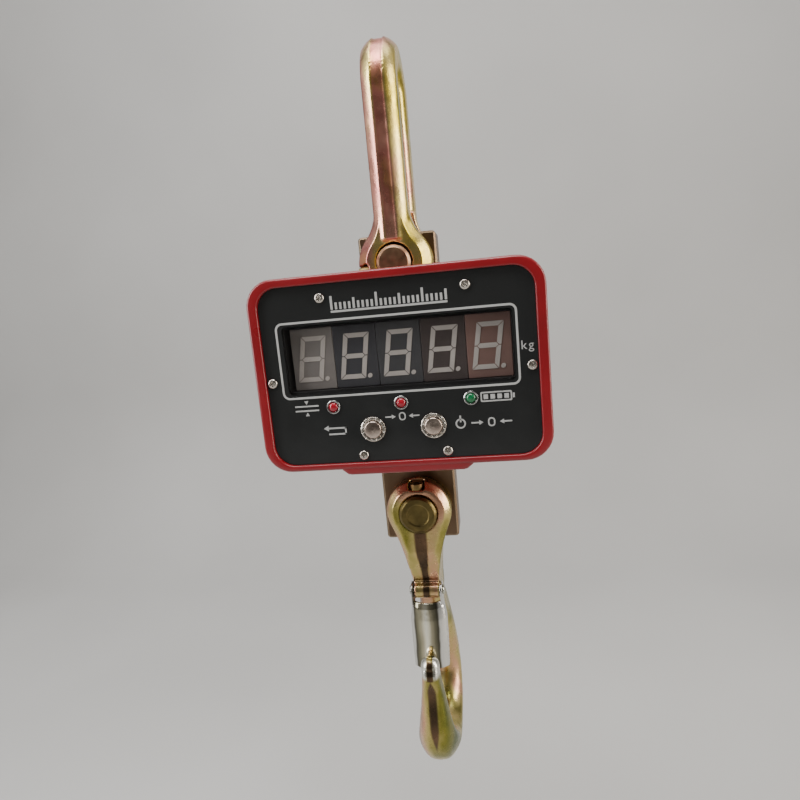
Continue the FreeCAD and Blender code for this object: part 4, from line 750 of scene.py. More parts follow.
def disc(radius: float, x: float, z: float, steps: int = 40) -> list[tuple[float, float]]:
    """The outline of a circle as (x, z) points."""
    turns = [2 * math.pi * i / steps for i in range(steps)]
    return [(x + radius * math.cos(t), z + radius * math.sin(t)) for t in turns]


def evaluated(piece: bpy.types.Object) -> None:
    """Applies a piece's modifiers to its mesh."""
    graph = bpy.context.evaluated_depsgraph_get()
    made = bpy.data.meshes.new_from_object(piece.evaluated_get(graph))
    piece.modifiers.clear()
    old = piece.data
    piece.data = made
    bpy.data.meshes.remove(old)


@dataclass
class SubAssembly:
    """A group of pieces; it names, dresses and keeps what its methods build."""

    made: list[str] = field(default_factory=list, init=False)

    def place(self, mesh: bpy.types.Mesh, name: str) -> bpy.types.Object:
        """Puts a mesh into the scene under a name."""
        piece = bpy.data.objects.new(name, mesh)
        bpy.context.scene.collection.objects.link(piece)
        return piece

    def keep(
        self,
        piece: bpy.types.Object,
        body: Body,
        slot: str,
        finish: Finish,
        nodes: Sequence[str] = (),
        sharp_deg: float = 32.0,
    ) -> None:
        """Dresses a piece and hands it to its body.

        Args:
            piece: The object.
            body: The moving body that it rides on.
            slot: The record's material slot; not used.
            finish: Its surface.
            nodes: CAD nodes that it stands for.
            sharp_deg: Edges sharper than this stay sharp.
        """
        piece.data.materials.clear()
        piece.data.materials.append(finish.material())
        piece.data.polygons.foreach_set("use_smooth", [True] * len(piece.data.polygons))
        piece.data.set_sharp_from_angle(angle=math.radians(sharp_deg))
        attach(piece, body.value)
        if nodes:
            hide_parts(*nodes)
        self.made.append(piece.name)

    def add(
        self,
        form: Form,
        name: str,
        body: Body,
        slot: str,
        finish: Finish,
        nodes: Sequence[str] = (),
        sharp_deg: float = 32.0,
        tools: Sequence[Form] = (),
    ) -> None:
        """Builds a form as a named piece, cuts it and keeps it; see keep for the values."""
        piece = self.place(form.mesh(name), name)
        if tools:
            self.cut(piece, tools)
        self.keep(piece, body, slot, finish, nodes, sharp_deg)

    def cut(self, piece: bpy.types.Object, tools: Sequence[Form]) -> None:
        """Cuts forms out of a piece."""
        cutters = []
        for number, tool in enumerate(tools):
            cutter = self.place(tool.mesh(f"cutter_{number}"), f"cutter_{number}")
            cutters.append(cutter)
            step = piece.modifiers.new(f"cut_{number}", "BOOLEAN")
            step.operation = "DIFFERENCE"
            step.solver = "EXACT"
            step.object = cutter
        evaluated(piece)
        for cutter in cutters:
            bpy.data.objects.remove(cutter)


# ------------------------------------------------------------------ forged and turned pieces


@dataclass
class LiftingTrain(SubAssembly):
    """The shackle, hook, latch and pins: what carries the load.

    The forgings take the CAD solids' shape, softened as a forging die leaves it.
    """

    forging_voxel_mm: float = 0.8
    sheet_voxel_mm: float = 0.4
    strip_half_mm: float = 3.9
    neck_strip_half_mm: float = 4.6
    pin_chamfer_mm: float = 1.8
    rivet_shank_share: float = 0.69
    rivet_head_mm: float = 1.4

    def softened(self, node: str, voxel_mm: float, passes: int) -> bpy.types.Object:
        """A copy of a CAD solid with its sharp edges run together.

        Args:
            node: The CAD node.
            voxel_mm: Grid size of the new skin.
            passes: Smoothing passes.

        Returns:
            The new object.
        """
        piece = self.place(frame["nodes"][node].data.copy(), f"{node}_forging")
        skin = piece.modifiers.new("skin", "REMESH")
        skin.mode = "VOXEL"
        skin.voxel_size = voxel_mm * MM
        soft = piece.modifiers.new("soft", "SMOOTH")
        soft.factor = 0.5
        soft.iterations = passes
        evaluated(piece)
        return piece

    def mark(
        self, piece: bpy.types.Object, name: str, rule: Callable[[Vector, Vector], float]
    ) -> None:
        """Stores a value at each point of a piece, from the point's place and normal.

        Args:
            piece: The object.
            name: The attribute that the finish reads.
            rule: Gives the value, 0 to 1, from the place in millimetres and the normal.
        """
        mesh = piece.data
        store = mesh.attributes.new(name, "FLOAT", "POINT")
        store.data.foreach_set("value", [rule(v.co / MM, v.normal) for v in mesh.vertices])

    def build_shackle(self) -> None:
        """The shackle, with the trimmed strip down the outside of its bow."""
        piece = self.softened("shackle", self.forging_voxel_mm, 3)
        high = box_mm("shackle")[2]
        outer = high.y
        bow = high.z - outer
        face = box_mm("shackle_pin")[2].z

        def strip(at: Vector, out: Vector) -> float:
            reach = math.hypot(at.y, at.z - bow) if at.z > bow else abs(at.y)
            on = smooth(reach, outer - 1.9, outer - 1.1) * smooth(-at.z, -bow - 400, -bow)
            across = 1 - smooth(abs(at.x), self.strip_half_mm - 0.6, self.strip_half_mm + 0.2)
            return on * across * (1.0 if at.z > face else 0.0)

        self.mark(piece, "strip", strip)
        self.keep(piece, Body.SHACKLE, "forged_yellow_zinc", FORGED, ("shackle",), 60)

    def build_hook(self) -> None:
        """The hook, with its strip down the neck and the tip, and a painted highlight on the ball of
        the tip either side of the strip.
        """
        piece = self.softened("hook", self.forging_voxel_mm, 4)
        pin = box_mm("hook_pin")[1].z
        radius = box_mm("hook_pin")[2].z - pin
        tip = box_mm("hook")[0].y

        def strip(at: Vector, out: Vector) -> float:
            front = smooth(-out.y, 0.35, 0.7)
            half = self.neck_strip_half_mm * (1 - 0.4 * smooth(pin - at.z, 24, 50))
            below_pin = at.z < pin - radius - 1 and at.y < 0 and at.z > pin - 70
            neck = 1 - smooth(abs(at.x), half - 0.5, half + 0.3) if below_pin else 0.0
            on_tip = at.y < tip + 26 and pin - 190 < at.z < pin - 118
            width = 3.2 * smooth(pin - 118 - at.z, 0, 14) * (1 - smooth(pin - at.z, 160, 185))
            nose = 1 - smooth(abs(at.x), width - 0.8, width + 0.6) if on_tip else 0.0
            on_ball = at.z > pin - 121 and at.y < tip + 18
            ball = 1 - smooth(abs(at.x), 1.9, 2.4) if on_ball else 0.0
            return front * max(neck, nose, ball)

        # painted highlight: the ball of the tip either side of the strip, which the finish paints pale
        # silver
        def tip_highlight(at: Vector, out: Vector) -> float:
            near = at.y < tip + 16 and abs(at.x) > 2.2
            return smooth(at.z, pin - 121, pin - 117) if near and at.z < pin - 100 else 0.0

        self.mark(piece, "strip", strip)
        self.mark(piece, "tip_highlight", tip_highlight)
        self.keep(piece, Body.HOOK, "forged_yellow_zinc", FORGED_OLIVE, ("hook",), 60)

    def build_latch(self) -> None:
        """The pressed latch and its riveted pin."""
        piece = self.softened("latch", self.sheet_voxel_mm, 6)
        piece.name = "latch_pressing"
        self.keep(piece, Body.LATCH, "bright_zinc", LATCH_SHEET, ("latch",), 60)
        middle, high = box_mm("latch_pin")[1:]
        half = high.x
        head = high.z - middle.z
        shank = head * self.rivet_shank_share
        neck = half - self.rivet_head_mm
        form = Form()
        form.lathe(
            [
                (0, -half), (head * 0.55, -half), (head * 0.9, -half + 0.35), (head, -half + 0.8),
                (head, -neck), (shank, -neck), (shank, neck), (head, neck),
                (head, half - 0.8), (head * 0.9, half - 0.35), (head * 0.55, half), (0, half),
            ],
            (0, middle.y, middle.z),
            Way.RIGHT,
        )
        self.add(form, "latch_rivet", Body.HOOK, "bright_zinc", PRESSED_ZINC, ("latch_pin",))

    def build_pin(self, node: str, body: Body, finish: TurnedChromate, dish_mm: float) -> None:
        """A turned pin with chamfered ends and a shallow dished face."""
        middle, high = box_mm(node)[1:]
        half, radius = high.y, high.x
        c = self.pin_chamfer_mm
        end = [
            (0, half - dish_mm), (radius * 0.55, half - dish_mm), (radius * 0.62, half),
            (radius - c, half), (radius - c * 0.4, half - c * 0.5), (radius, half - c),
        ]
        form = Form()
        profile = [(r, -h) for r, h in end] + [(r, h) for r, h in reversed(end)]
        form.lathe(profile, (0, 0, middle.z), Way.FRONT, 72)
        self.add(form, f"{node}_turned", body, "pin_yellow_zinc", finish, (node,), 25)

    def build(self) -> None:
        """Builds every piece of the train."""
        self.build_shackle()
        self.build_hook()
        self.build_latch()
        for node, body, first, second, dish in (
            ("shackle_pin", Body.SHACKLE, "#99705A", "#A88A6C", 0.0),
            ("hook_pin", Body.HOOK, "#5E5232", "#7A6A40", 0.5),
        ):
            centre = (0.0, 0.0, box_mm(node)[1].z * MM)
            finish = TurnedChromate(f"{node}_chromate", first, 0.34, 1.0, second, centre)
            self.build_pin(node, body, finish, dish)


def smooth(value: float, start: float, end: float) -> float:
    """Rises from 0 at start to 1 at end with no corners."""
    t = min(max((value - start) / (end - start), 0.0), 1.0)
    return t * t * (3 - 2 * t)


# ------------------------------------------------------------------ housing


@dataclass
class Housing(SubAssembly):
    """The two die-cast shells; their sizes are the CAD shells'."""

    width: float = 189.5
    height: float = 127.6
    corner: float = 18.0
    middle: float = -192.8
    panel_middle: float = -193.5
    panel: tuple[float, float] = (175.2, 117.2)
    panel_corner: float = 13.6
    rim_y: float = -62.0
    rear_y: float = 66.0
    split: float = 0.5
    front_draft: tuple[float, float] = (20.0, 12.0)
    whole_draft: tuple[float, float] = (40.0, 22.0)
    wall: float = 3.2
    rim_round: float = 2.2
    pocket_round: float = 0.9
    ledge_y: float = -56.5
    ledge_width: float = 5.0
    ledge_depth: float = 6.0
    chin_half: float = 44.0
    chin_slope: float = 6.0
    chin_drop: float = 3.7
    chin_back: float = 22.4
    chin_round: float = 1.6
    well: Point = (31.0, 38.0, -153.5)
    cell_way: tuple[float, float] = (29.4, 14.4)
    boss: tuple[float, float] = (64.0, 42.0)
    boss_seat: float = 14.5
    tube_bore: float = 4.1
    tube_out: float = 5.5
    socket_at: tuple[float, float] = (50.0, 34.0)
    socket_seat: float = 53.3
    socket_bore: float = 6.1

    def outline(self, y: float, inset: tuple[float, float] | float = 0.0) -> list[Point]:
        """The shell's outline at a depth, optionally set in from the skin."""
        in_x, in_z = inset if isinstance(inset, tuple) else (inset, inset)
        if y < 0:
            share = (y - self.rim_y) / -self.rim_y
            shrink = [d * share for d in self.front_draft]
        else:
            share = y / self.rear_y
            pairs = zip(self.front_draft, self.whole_draft)
            shrink = [a + (b - a) * share for a, b in pairs]
        corner = max(self.corner - (in_x + in_z) / 2 - shrink[1] / 4, self.wall)
        flat = rounded(
            self.width - shrink[0] - 2 * in_x, self.height - shrink[1] - 2 * in_z, corner, self.middle
        )
        return [(x, y, z) for x, z in flat]

    def pocket(self, y: float, grow: float) -> list[Point]:
        """The panel's outline at a depth, grown by an amount."""
        flat = rounded(
            self.panel[0] + 2 * grow,
            self.panel[1] + 2 * grow,
            self.panel_corner + grow,
            self.panel_middle,
        )
        return [(x, y, z) for x, z in flat]

    def rim(self) -> list[list[Point]]:
        """Rings over the rounded rim, from the outer skin to the pocket's wall."""
        turns = [math.radians(90 * i / 6) for i in range(7)]
        r, q, y = self.rim_round, self.pocket_round, self.rim_y
        rings = [self.outline(y + r * (1 - math.sin(t)), r * (1 - math.cos(t))) for t in turns]
        rings += [self.pocket(y + q * (1 - math.cos(t)), q * (1 - math.sin(t))) for t in turns]
        return rings

    def openings(self) -> list[Form]:
        """What is cut through both shells: the shackle's well and the load cell's way."""
        x, y, floor = self.well
        top = self.middle + self.height / 2
        pit = Form()
        pit.block((-x, x), (-y, y), (floor, top + 5))
        way = Form()
        half_x, half_y = self.cell_way
        way.block((-half_x, half_x), (-half_y, half_y), (self.middle - self.height, floor + 1))
        return [pit, way]

    def cast(
        self, form: Form, name: str, nodes: Sequence[str] = (), tools: Sequence[Form] = ()
    ) -> None:
        """Keeps one enamelled casting."""
        self.add(form, name, Body.SCALE, "red_enamel", ENAMEL, nodes, tools=tools)

    def build_front(self) -> None:
        """The front shell: rounded rim, panel pocket, ledge and hollow back."""
        behind = self.ledge_y + self.ledge_depth
        rings = [self.outline(-self.split)]
        rings += self.rim()
        rings += [
            self.pocket(self.ledge_y, 0.0),
            self.pocket(self.ledge_y, -self.ledge_width),
            self.pocket(behind, -self.ledge_width),
            self.outline(behind, self.wall),
            self.outline(-self.split, self.wall),
        ]
        form = Form()
        form.loft(rings, around=True)
        self.cast(form, "front_casting", ("front_shell",), self.openings())

    def build_rear(self) -> None:
        """The rear shell with its rounded back and deep screw wells."""
        rings = [self.outline(self.split)]
        for i in range(6):
            turn = math.radians(90 * i / 5)
            y = self.rear_y - self.rim_round * (1 - math.sin(turn))
            rings.append(self.outline(y, self.rim_round * (1 - math.cos(turn))))
        outer = Form()
        outer.loft(rings)
        hollow = Form()
        hollow.loft(
            [self.outline(self.split - 1, self.wall), self.outline(self.rear_y - self.wall, self.wall)]
        )
        wells = []
        tubes = Form()
        for sx in (-1, 1):
            for sz in (-1, 1):
                x, z = sx * self.boss[0], self.middle + sz * self.boss[1]
                bore = self.tube_bore
                well = Form()
                well.lathe([(0, 0), (bore, 0), (bore, 70), (0, 70)], (x, self.boss_seat, z), Way.BACK)
                wells.append(well)
                span = (self.boss_seat - self.wall + 0.2, self.rear_y - 1.5)
                tubes.band(disc(self.tube_out, x, z), disc(bore, x, z), span)
        x, y = self.socket_at
        seat = self.middle - self.socket_seat
        recess = Form()
        recess.block((x - 10, x + 10), (y - 10, y + 10), (self.middle - self.height, seat))
        tools = [hollow, *self.openings(), *wells, recess]
        self.cast(outer, "rear_casting", ("rear_shell",), tools)
        self.cast(tubes, "rear_screw_tubes")
        pad = Form()
        pad.band(rounded(19.6, 19.6, 2, y, x), disc(self.socket_bore, x, y, 36), (0.0, 3.1))
        pad.points = [(a, c, seat + b) for a, b, c in pad.points]
        self.cast(pad, "socket_pad")

    def build_well(self) -> None:
        """The walls and floor of the well, one half in each shell."""
        x, y, floor = self.well
        t = self.wall
        half_x, half_y = self.cell_way
        top = self.middle + self.height / 2 - 7.5

        def span(sign: int, a: float, b: float) -> tuple[float, float]:
            return (min(sign * a, sign * b), max(sign * a, sign * b))

        for side, name, rise in ((-1, "front", -1.0), (1, "rear", 0.5)):
            form = Form()
            form.block((-x - t, x + t), span(side, y, y + t), (floor - t, top + rise))
            for edge in (-1, 1):
                form.block(span(edge, x, x + t), span(side, self.split, y), (floor - t, top))
                form.block(
                    span(edge, half_x, x), span(side, self.split, half_y), (floor - t, floor)
                )
            form.block((-x, x), span(side, half_y, y), (floor - t, floor))
            self.cast(form, f"well_{name}")

    def build_chin(self) -> None:
        """The pad below the housing round the load cell's way out."""
        low = self.middle - self.height / 2 - self.chin_drop

        def ring(y: float, inset: float) -> list[Point]:
            share = (y - self.rim_y) / -self.rim_y
            top = self.middle - self.height / 2 + self.front_draft[1] * share / 2 + self.wall / 2
            half = self.chin_half - inset
            toe = half - self.chin_slope
            bottom = low + inset
            heel = bottom + self.chin_slope * 0.62
            right = [
                (half, y, top),
                (half, y, heel + 1.2),
                (half - 1.0, y, heel - 0.4),
                (toe + 1.4, y, bottom + 0.5),
                (toe - 0.8, y, bottom),
            ]
            return right + [(-a, b, c) for a, b, c in reversed(right)]

        r = self.chin_round
        turns = [math.radians(18 * i) for i in range(6)]
        start = self.rim_y + 0.5
        rounds = [ring(start + r * (1 - math.cos(t)), r * (1 - math.sin(t))) for t in turns]
        for name, rings in (
            ("front", [*rounds, ring(-self.split, 0.0)]),
            ("rear", [ring(self.split, 0.0), ring(self.chin_back, 0.8)]),
        ):
            form = Form()
            form.loft(rings)
            self.cast(form, f"chin_{name}", (), self.openings()[1:])

    def build(self) -> None:
        """Builds both shells, the well and the chin."""
        self.build_front()
        self.build_rear()
        self.build_well()
        self.build_chin()


# ------------------------------------------------------------------ front panel


LAMP_DROP = 31.6
KEY_DROP = 47.8


@dataclass
class PanelGroup(SubAssembly):
    """Pieces on the panel, placed from its face and from the middle of the display."""

    def __post_init__(self) -> None:
        """Reads the panel's face and the display's middle from the frame."""
        self.face = box_mm("front_panel")[0].y
        self.z = box_mm("display_window")[1].z


@dataclass(frozen=True)
class Sign:
    """One printed sign, measured from its row.

    Attributes:
        name: The piece's name.
        drop: How far its row lies below the display's middle.
        bars: Bars as (x, z, wide, tall).
        arrows: Filled triangles as (x, z, size, turn in degrees).
        loop: Outer and inner outline of a ring, or nothing.
    """

    name: str
    drop: float
    bars: tuple[tuple[float, float, float, float], ...]
    arrows: tuple[tuple[float, float, float, float], ...] = ()
    loop: tuple[list[tuple[float, float]], ...] = ()


SIGNS = (
    Sign(
        "icon_level",
        LAMP_DROP,
        ((-62.5, -1.5, 16.0, 1.0), (-62.5, 1.5, 16.0, 1.0)),
        ((-62.5, 4.2, 1.6, 270), (-62.5, -4.2, 1.6, 90)),
    ),
    Sign(
        "icon_zero_lamp",
        LAMP_DROP + 9.0,
        ((-9.0, 0, 4.2, 0.9), (9.0, 0, 4.2, 0.9)),
        ((-6.0, 0, 1.7, 0), (6.0, 0, 1.7, 180)),
        (rounded(4.4, 5.4, 2.1), rounded(2.8, 3.8, 1.3)),
    ),
    Sign(
        "icon_battery",
        LAMP_DROP,
        ((71.2, 0, 1.3, 3.0), *((53.9 + i * 4.3, 0, 2.8, 3.0) for i in range(4))),
        (),
        (rounded(19.6, 6.4, 1.0, 0, 60.4), rounded(17.8, 4.6, 0.5, 0, 60.4)),
    ),
    Sign(
        "icon_return",
        KEY_DROP,
        ((-43.6, 2.0, 12.0, 1.1), (-38.1, 0, 1.1, 5.1), (-43.6, -2.0, 12.0, 1.1)),
        ((-50.6, 2.0, 2.2, 180),),
    ),
    Sign(
        "icon_power",
        KEY_DROP,
        ((37.0, 3.0, 1.1, 4.4),),
        (),
        (disc(3.3, 37.0, 0, 32), disc(2.3, 37.0, 0, 32)),
    ),
    Sign(
        "icon_tare_key",
        KEY_DROP,
        ((46.2, 0, 5.0, 1.0), (66.8, 0, 5.0, 1.0)),
        ((49.6, 0, 1.8, 0), (63.4, 0, 1.8, 180)),
        (rounded(4.6, 5.8, 2.2, 0, 56.5), rounded(2.8, 4.0, 1.3, 0, 56.5)),
    ),
)


@dataclass
class PanelPrint(PanelGroup):
    """The grey print on the panel: the display's frame, tick marks, icons and the unit."""

    frame_width: float = 152.6
    frame_height: float = 49.0
    frame_line: float = 1.35
    frame_corner: float = 4.0
    frame_x: float = -0.7
    ink: float = 0.06
    bar_corner: float = 0.2
    tick_start: float = -38.6
    tick_pitch: float = 2.9
    tick_count: int = 26
    tick_rise: float = 30.8
    tick_heights: tuple[float, ...] = (8.6, 4.4, 4.4, 4.4, 4.4, 6.6, 4.4, 4.4, 4.4, 4.4)
    tick_width: float = 1.5
    unit_at: tuple[float, float] = (81.2, -1.2)
    unit_size: float = 7.8

    def __post_init__(self) -> None:
        """Places the ink on the panel's face."""
        super().__post_init__()
        self.depth = (self.face - self.ink, self.face + 0.02)

    def dress(self, form: Form, name: str) -> None:
        """Keeps one printed mark."""
        self.add(form, name, Body.SCALE, "black_panel", INK)

    def bar(self, form: Form, x: float, z: float, wide: float, tall: float) -> None:
        """Adds one printed bar."""
        corner = min(self.bar_corner, wide / 2.1, tall / 2.1)
        form.sheet(rounded(wide, tall, corner, z, x, 3), self.depth)

    def build_frame_line(self) -> None:
        """The rounded line round the display."""
        outlines = [
            rounded(
                self.frame_width + w,
                self.frame_height + w,
                self.frame_corner + w / 2,
                self.z,
                self.frame_x,
            )
            for w in (self.frame_line, -self.frame_line)
        ]
        form = Form()
        form.band(*outlines, self.depth)
        self.dress(form, "print_frame_line")

    def build_heading(self) -> None:
        """A row of graduation marks with a beam under it, in place of a heading."""
        form = Form()
        base = self.z + self.tick_rise
        for i in range(self.tick_count):
            tall = self.tick_heights[i % len(self.tick_heights)]
            x = self.tick_start + i * self.tick_pitch
            self.bar(form, x, base + tall / 2, self.tick_width, tall)
        run = (self.tick_count - 1) * self.tick_pitch
        middle = self.tick_start + run / 2
        self.bar(form, middle, base - 1.2, run + self.tick_width, 1.3)
        self.dress(form, "print_graduations")

    def build_signs(self) -> None:
        """Small signs beside the lamps and buttons."""
        for sign in SIGNS:
            row = self.z - sign.drop
            form = Form()
            for x, z, wide, tall in sign.bars:
                self.bar(form, x, row + z, wide, tall)
            for x, z, size, turn in sign.arrows:
                turns = [math.radians(turn + 120 * i) for i in range(3)]
                form.sheet(
                    [(x + size * math.cos(t), row + z + size * math.sin(t)) for t in turns],
                    self.depth,
                )
            if sign.loop:
                outer, inner = ([(x, row + z) for x, z in line] for line in sign.loop)
                form.band(outer, inner, self.depth)
            self.dress(form, sign.name)

    def build_unit(self) -> None:
        """The unit of mass, in a plain face."""
        curve = bpy.data.curves.new("unit_curve", "FONT")
        curve.body = "kg"
        curve.size = self.unit_size * MM
        curve.space_character = 1.25
        curve.align_x = "CENTER"
        curve.align_y = "CENTER"
        curve.extrude = self.ink * MM
        text = bpy.data.objects.new("unit_curve", curve)
        bpy.context.scene.collection.objects.link(text)
        bpy.context.view_layer.update()
        graph = bpy.context.evaluated_depsgraph_get()
        mesh = bpy.data.meshes.new_from_object(text.evaluated_get(graph))
        bpy.data.objects.remove(text)
        x, rise = self.unit_at
        shift = Matrix.Translation(Vector((x, self.face, self.z + rise)) * MM)
        mesh.transform(shift @ Matrix.Rotation(math.radians(90), 4, "X"))
        piece = self.place(mesh, "print_unit")
        self.keep(piece, Body.SCALE, "black_panel", INK)

    def build(self) -> None:
        """Prints everything."""
        self.build_frame_line()
        self.build_heading()
        self.build_signs()
        self.build_unit()


@dataclass
class Digits(SubAssembly):
    """Five seven-segment modules, unlit."""

    segment: float = 3.0
    tall: float = 29.8
    wide: float = 16.8
    slant_deg: float = 9.0
    gap: float = 0.32
    dot: float = 1.5
    dot_out: float = 2.6
    shift: float = 0.8
    sunk: float = 0.5
    # painted light and shade: each case gets its own lightness, though all five modules are the same
    # part
    painted_light_tones: tuple[str, ...] = ("#8A8480", "#4A4A4E", "#505052", "#544B49", "#8A6C64")

    def segments(self) -> list[list[tuple[float, float]]]:
        """The outlines of the seven segments, mitred where they meet."""
        w, h, t, g = self.wide / 2, self.tall / 2, self.segment, self.gap
        top = [(-w + g, h), (w - g, h), (w - t - g, h - t), (-w + t + g, h - t)]
        upper = [(w, h - g), (w, g), (w - t / 2, g), (w - t, t / 2 + g), (w - t, h - t - g)]
        bar = [(w - t / 2 - g, 0), (w - t - g, t / 2), (-w + t + g, t / 2)]
        middle = bar + [(-x, -z) for x, z in bar]
        shapes = [top, [(x, -z) for x, z in top], middle]
        for sx in (1, -1):
            for sz in (1, -1):
                shapes.append([(sx * x, sz * z) for x, z in upper])
        return shapes

    def build_module(self, number: int) -> None:
        """One module: a case painted lighter or darker than the other modules, painted light and shade
        on one resin, and its eight lit areas.
        """
        low, middle, high = box_mm(f"digit_module_{number}")
        size = high - low
        full = rounded(size.x, size.z, 0.8, middle.z, middle.x, 3)
        front = rounded(size.x - 0.6, size.z - 0.6, 0.6, middle.z, middle.x, 3)
        body = Form()
        body.loft(
            [
                [(a, low.y + self.sunk, b) for a, b in front],
                [(a, low.y + self.sunk + 0.4, b) for a, b in full],
                [(a, high.y, b) for a, b in full],
            ]
        )
        finish = Moulded(
            f"display_resin_painted_light_and_shade_{number}", self.painted_light_tones[number - 1], 0.35, grain_mm=4.0, depth_mm=0.01
        )
        nodes = (f"digit_module_{number}",)
        self.add(body, f"digit_{number}_case", Body.SCALE, "digit_grey", finish, nodes)
        lit = Form()
        dot = disc(self.dot, self.wide / 2 + self.dot_out, -self.tall / 2 + self.dot, 24)
        for shape in [*self.segments(), dot]:
            points = [self.lean(p, middle.x, middle.z) for p in shape]
            lit.sheet(points, (low.y + 0.2, low.y + 0.6))
        self.add(lit, f"digit_{number}_segments", Body.SCALE, "digit_grey", SEGMENT)

    def lean(self, p: tuple[float, float], x: float, z: float) -> tuple[float, float]:
        """Slants a point of the digit and moves it to its module."""
        slant = math.tan(math.radians(self.slant_deg))
        return (x - self.shift + p[0] + p[1] * slant, z + p[1])

    def build(self) -> None:
        """Builds all five modules."""
        for number in range(1, 6):
            self.build_module(number)


@dataclass
class PanelFittings(PanelGroup):
    """What stands on the panel: screws, lamps and push buttons."""

    notches: int = 12
    screw_places: tuple[tuple[float, float], ...] = ((45.9, 38.8), (83.6, -13.5), (27.6, -65.0))
    drive_half: float = 1.8
    drive_depth: float = 1.1
    lamp_step: float = 44.6
    key_step: float = 19.7
    ring_steps: int = 96
    cap_top: float = 3.0
    cap_radius: float = 5.5

    def cross_cut(self, centre: Point, size: float, depth: float) -> list[Form]:
        """The two cutting forms of a cross drive, tapering inwards."""
        forms = []
        for a, b in ((size, size * 0.26), (size * 0.26, size)):
            rings = []
            for y, k in ((centre[1] - 0.4, 1.0), (centre[1] + depth, 0.6)):
                rings.append(
                    [
                        (centre[0] + sx * a * k, y, centre[2] + sz * b * k)
                        for sx, sz in ((1, 1), (-1, 1), (-1, -1), (1, -1))
                    ]
                )
            form = Form()
            form.loft(rings)
            forms.append(form)
        return forms

    def build_screws(self) -> None:
        """Six pan-head screws with cross drives."""
        head = [(3.15, 0), (3.2, 0.4), (3.05, 0.9), (2.6, 1.3), (1.8, 1.52), (0, 1.6)]
        places = [(side * x, z) for x, z in self.screw_places for side in (-1, 1)]
        for number, (x, rise) in enumerate(places):
            z = self.z + rise
            form = Form()
            form.lathe([(0, -9), (1.4, -9), (1.45, 0), *head], (x, self.face, z))
            top = (x, self.face - head[-1][1], z)
            cutters = self.cross_cut(top, self.drive_half, self.drive_depth)
            nodes = ("panel_screws",) if number == 0 else ()
            name = f"panel_screw_{number + 1}"
            self.add(form, name, Body.SCALE, "screw_nickel", NICKEL, nodes, tools=cutters)

    def open_ring(self, form: Form, steps: int) -> None:
        """Turns a lathed ring with closed ends into an open one, joined end to end."""
        form.faces = [f for f in form.faces if len(f) == 4]
        last = len(form.points) - steps
        for i in range(steps):
            j = (i + 1) % steps
            form.faces.append((last + i, last + j, j, i))

    def build_lamps(self) -> None:
        """Three domed lamps in bright bezels, with a dark gap between."""
        stem = [(0, -16.9), (2.3, -16.9), (2.3, -5), (3.05, -5), (3.05, 0)]
        turns = [math.radians(15 * i) for i in range(1, 7)]
        dome = [(3.05 * math.cos(t), 2.0 * math.sin(t)) for t in turns]
        rim = [(3.3, 0.0), (3.3, 0.45), (3.6, 0.8), (4.15, 0.9), (4.5, 0.65), (4.6, 0.0)]
        for number, (node, slot, lens) in enumerate(
            (
                ("led_steady", "led_red", RED_LENS),
                ("led_tare", "led_red", RED_LENS),
                ("led_charge", "led_green", GREEN_LENS),
            )
        ):
            centre = ((number - 1) * self.lamp_step, self.face, self.z - LAMP_DROP)
            form = Form()
            form.lathe(stem + dome, centre)
            self.add(form, f"{node}_lens", Body.SCALE, slot, lens, (node,))
            ring = Form()
            ring.lathe(rim, centre)
            self.open_ring(ring, 48)
            nodes = ("led_bezels",) if number == 0 else ()
            self.add(ring, f"{node}_bezel", Body.SCALE, "bezel_chrome", CHROME, nodes)

    def notch(self, step: int, radius: float, along: float) -> tuple[float, float]:
        """Sinks the ring's flat face at even steps round it."""
        in_notch = step % (self.ring_steps // self.notches) == 0
        raised = along > 1.5 and 6.4 < radius < 7.6
        return (radius, along - 0.6) if in_notch and raised else (radius, along)

    def build_button(self, side: str, x: float, body: Body) -> None:
        """A push button: notched bright ring fixed to the panel, and a domed cap that moves."""
        centre = (x, self.face, self.z - KEY_DROP)
        ring = Form()
        ring.lathe(
            [
                (5.72, -3.0), (5.72, 1.35), (5.95, 1.6), (6.3, 1.7), (6.6, 1.78),
                (7.5, 1.78), (8.1, 1.45), (8.45, 0.7), (8.5, 0.0), (7.0, 0.0),
                (7.0, -16.0), (5.9, -16.0), (5.9, -3.0),
            ],
            centre,
            Way.FRONT,
            self.ring_steps,
            self.notch,
        )
        self.open_ring(ring, self.ring_steps)
        nodes = (f"button_body_{side}",)
        self.add(ring, f"button_ring_{side}", Body.SCALE, "button_nickel", NICKEL, nodes, 28)
        r, top = self.cap_radius, self.cap_top
        turns = [math.radians(12 * i) for i in range(1, 8)]
        skirt = [
            (0, -14.4), (1.8, -14.4), (1.8, -2.0), (r, -2.0),
            (r + 0.15, -1.8), (r + 0.15, top - 0.35), (r, top - 0.08),
        ]
        dome = [(r * math.cos(t), top - 0.05 + 0.95 * math.sin(t)) for t in turns]
        cap = Form()
        cap.lathe([*skirt, *dome, (0, top + 0.94)], centre, Way.FRONT, 64)
        nodes = (f"button_cap_{side}",)
        self.add(cap, f"button_cap_{side}_turned", body, "button_nickel", CAP_METAL, nodes, 40)

    def build(self) -> None:
        """Builds screws, lamps and buttons."""
        self.build_screws()
        self.build_lamps()
        self.build_button("left", -self.key_step, Body.BUTTON_LEFT)
        self.build_button("right", self.key_step, Body.BUTTON_RIGHT)


# ------------------------------------------------------------------ studio


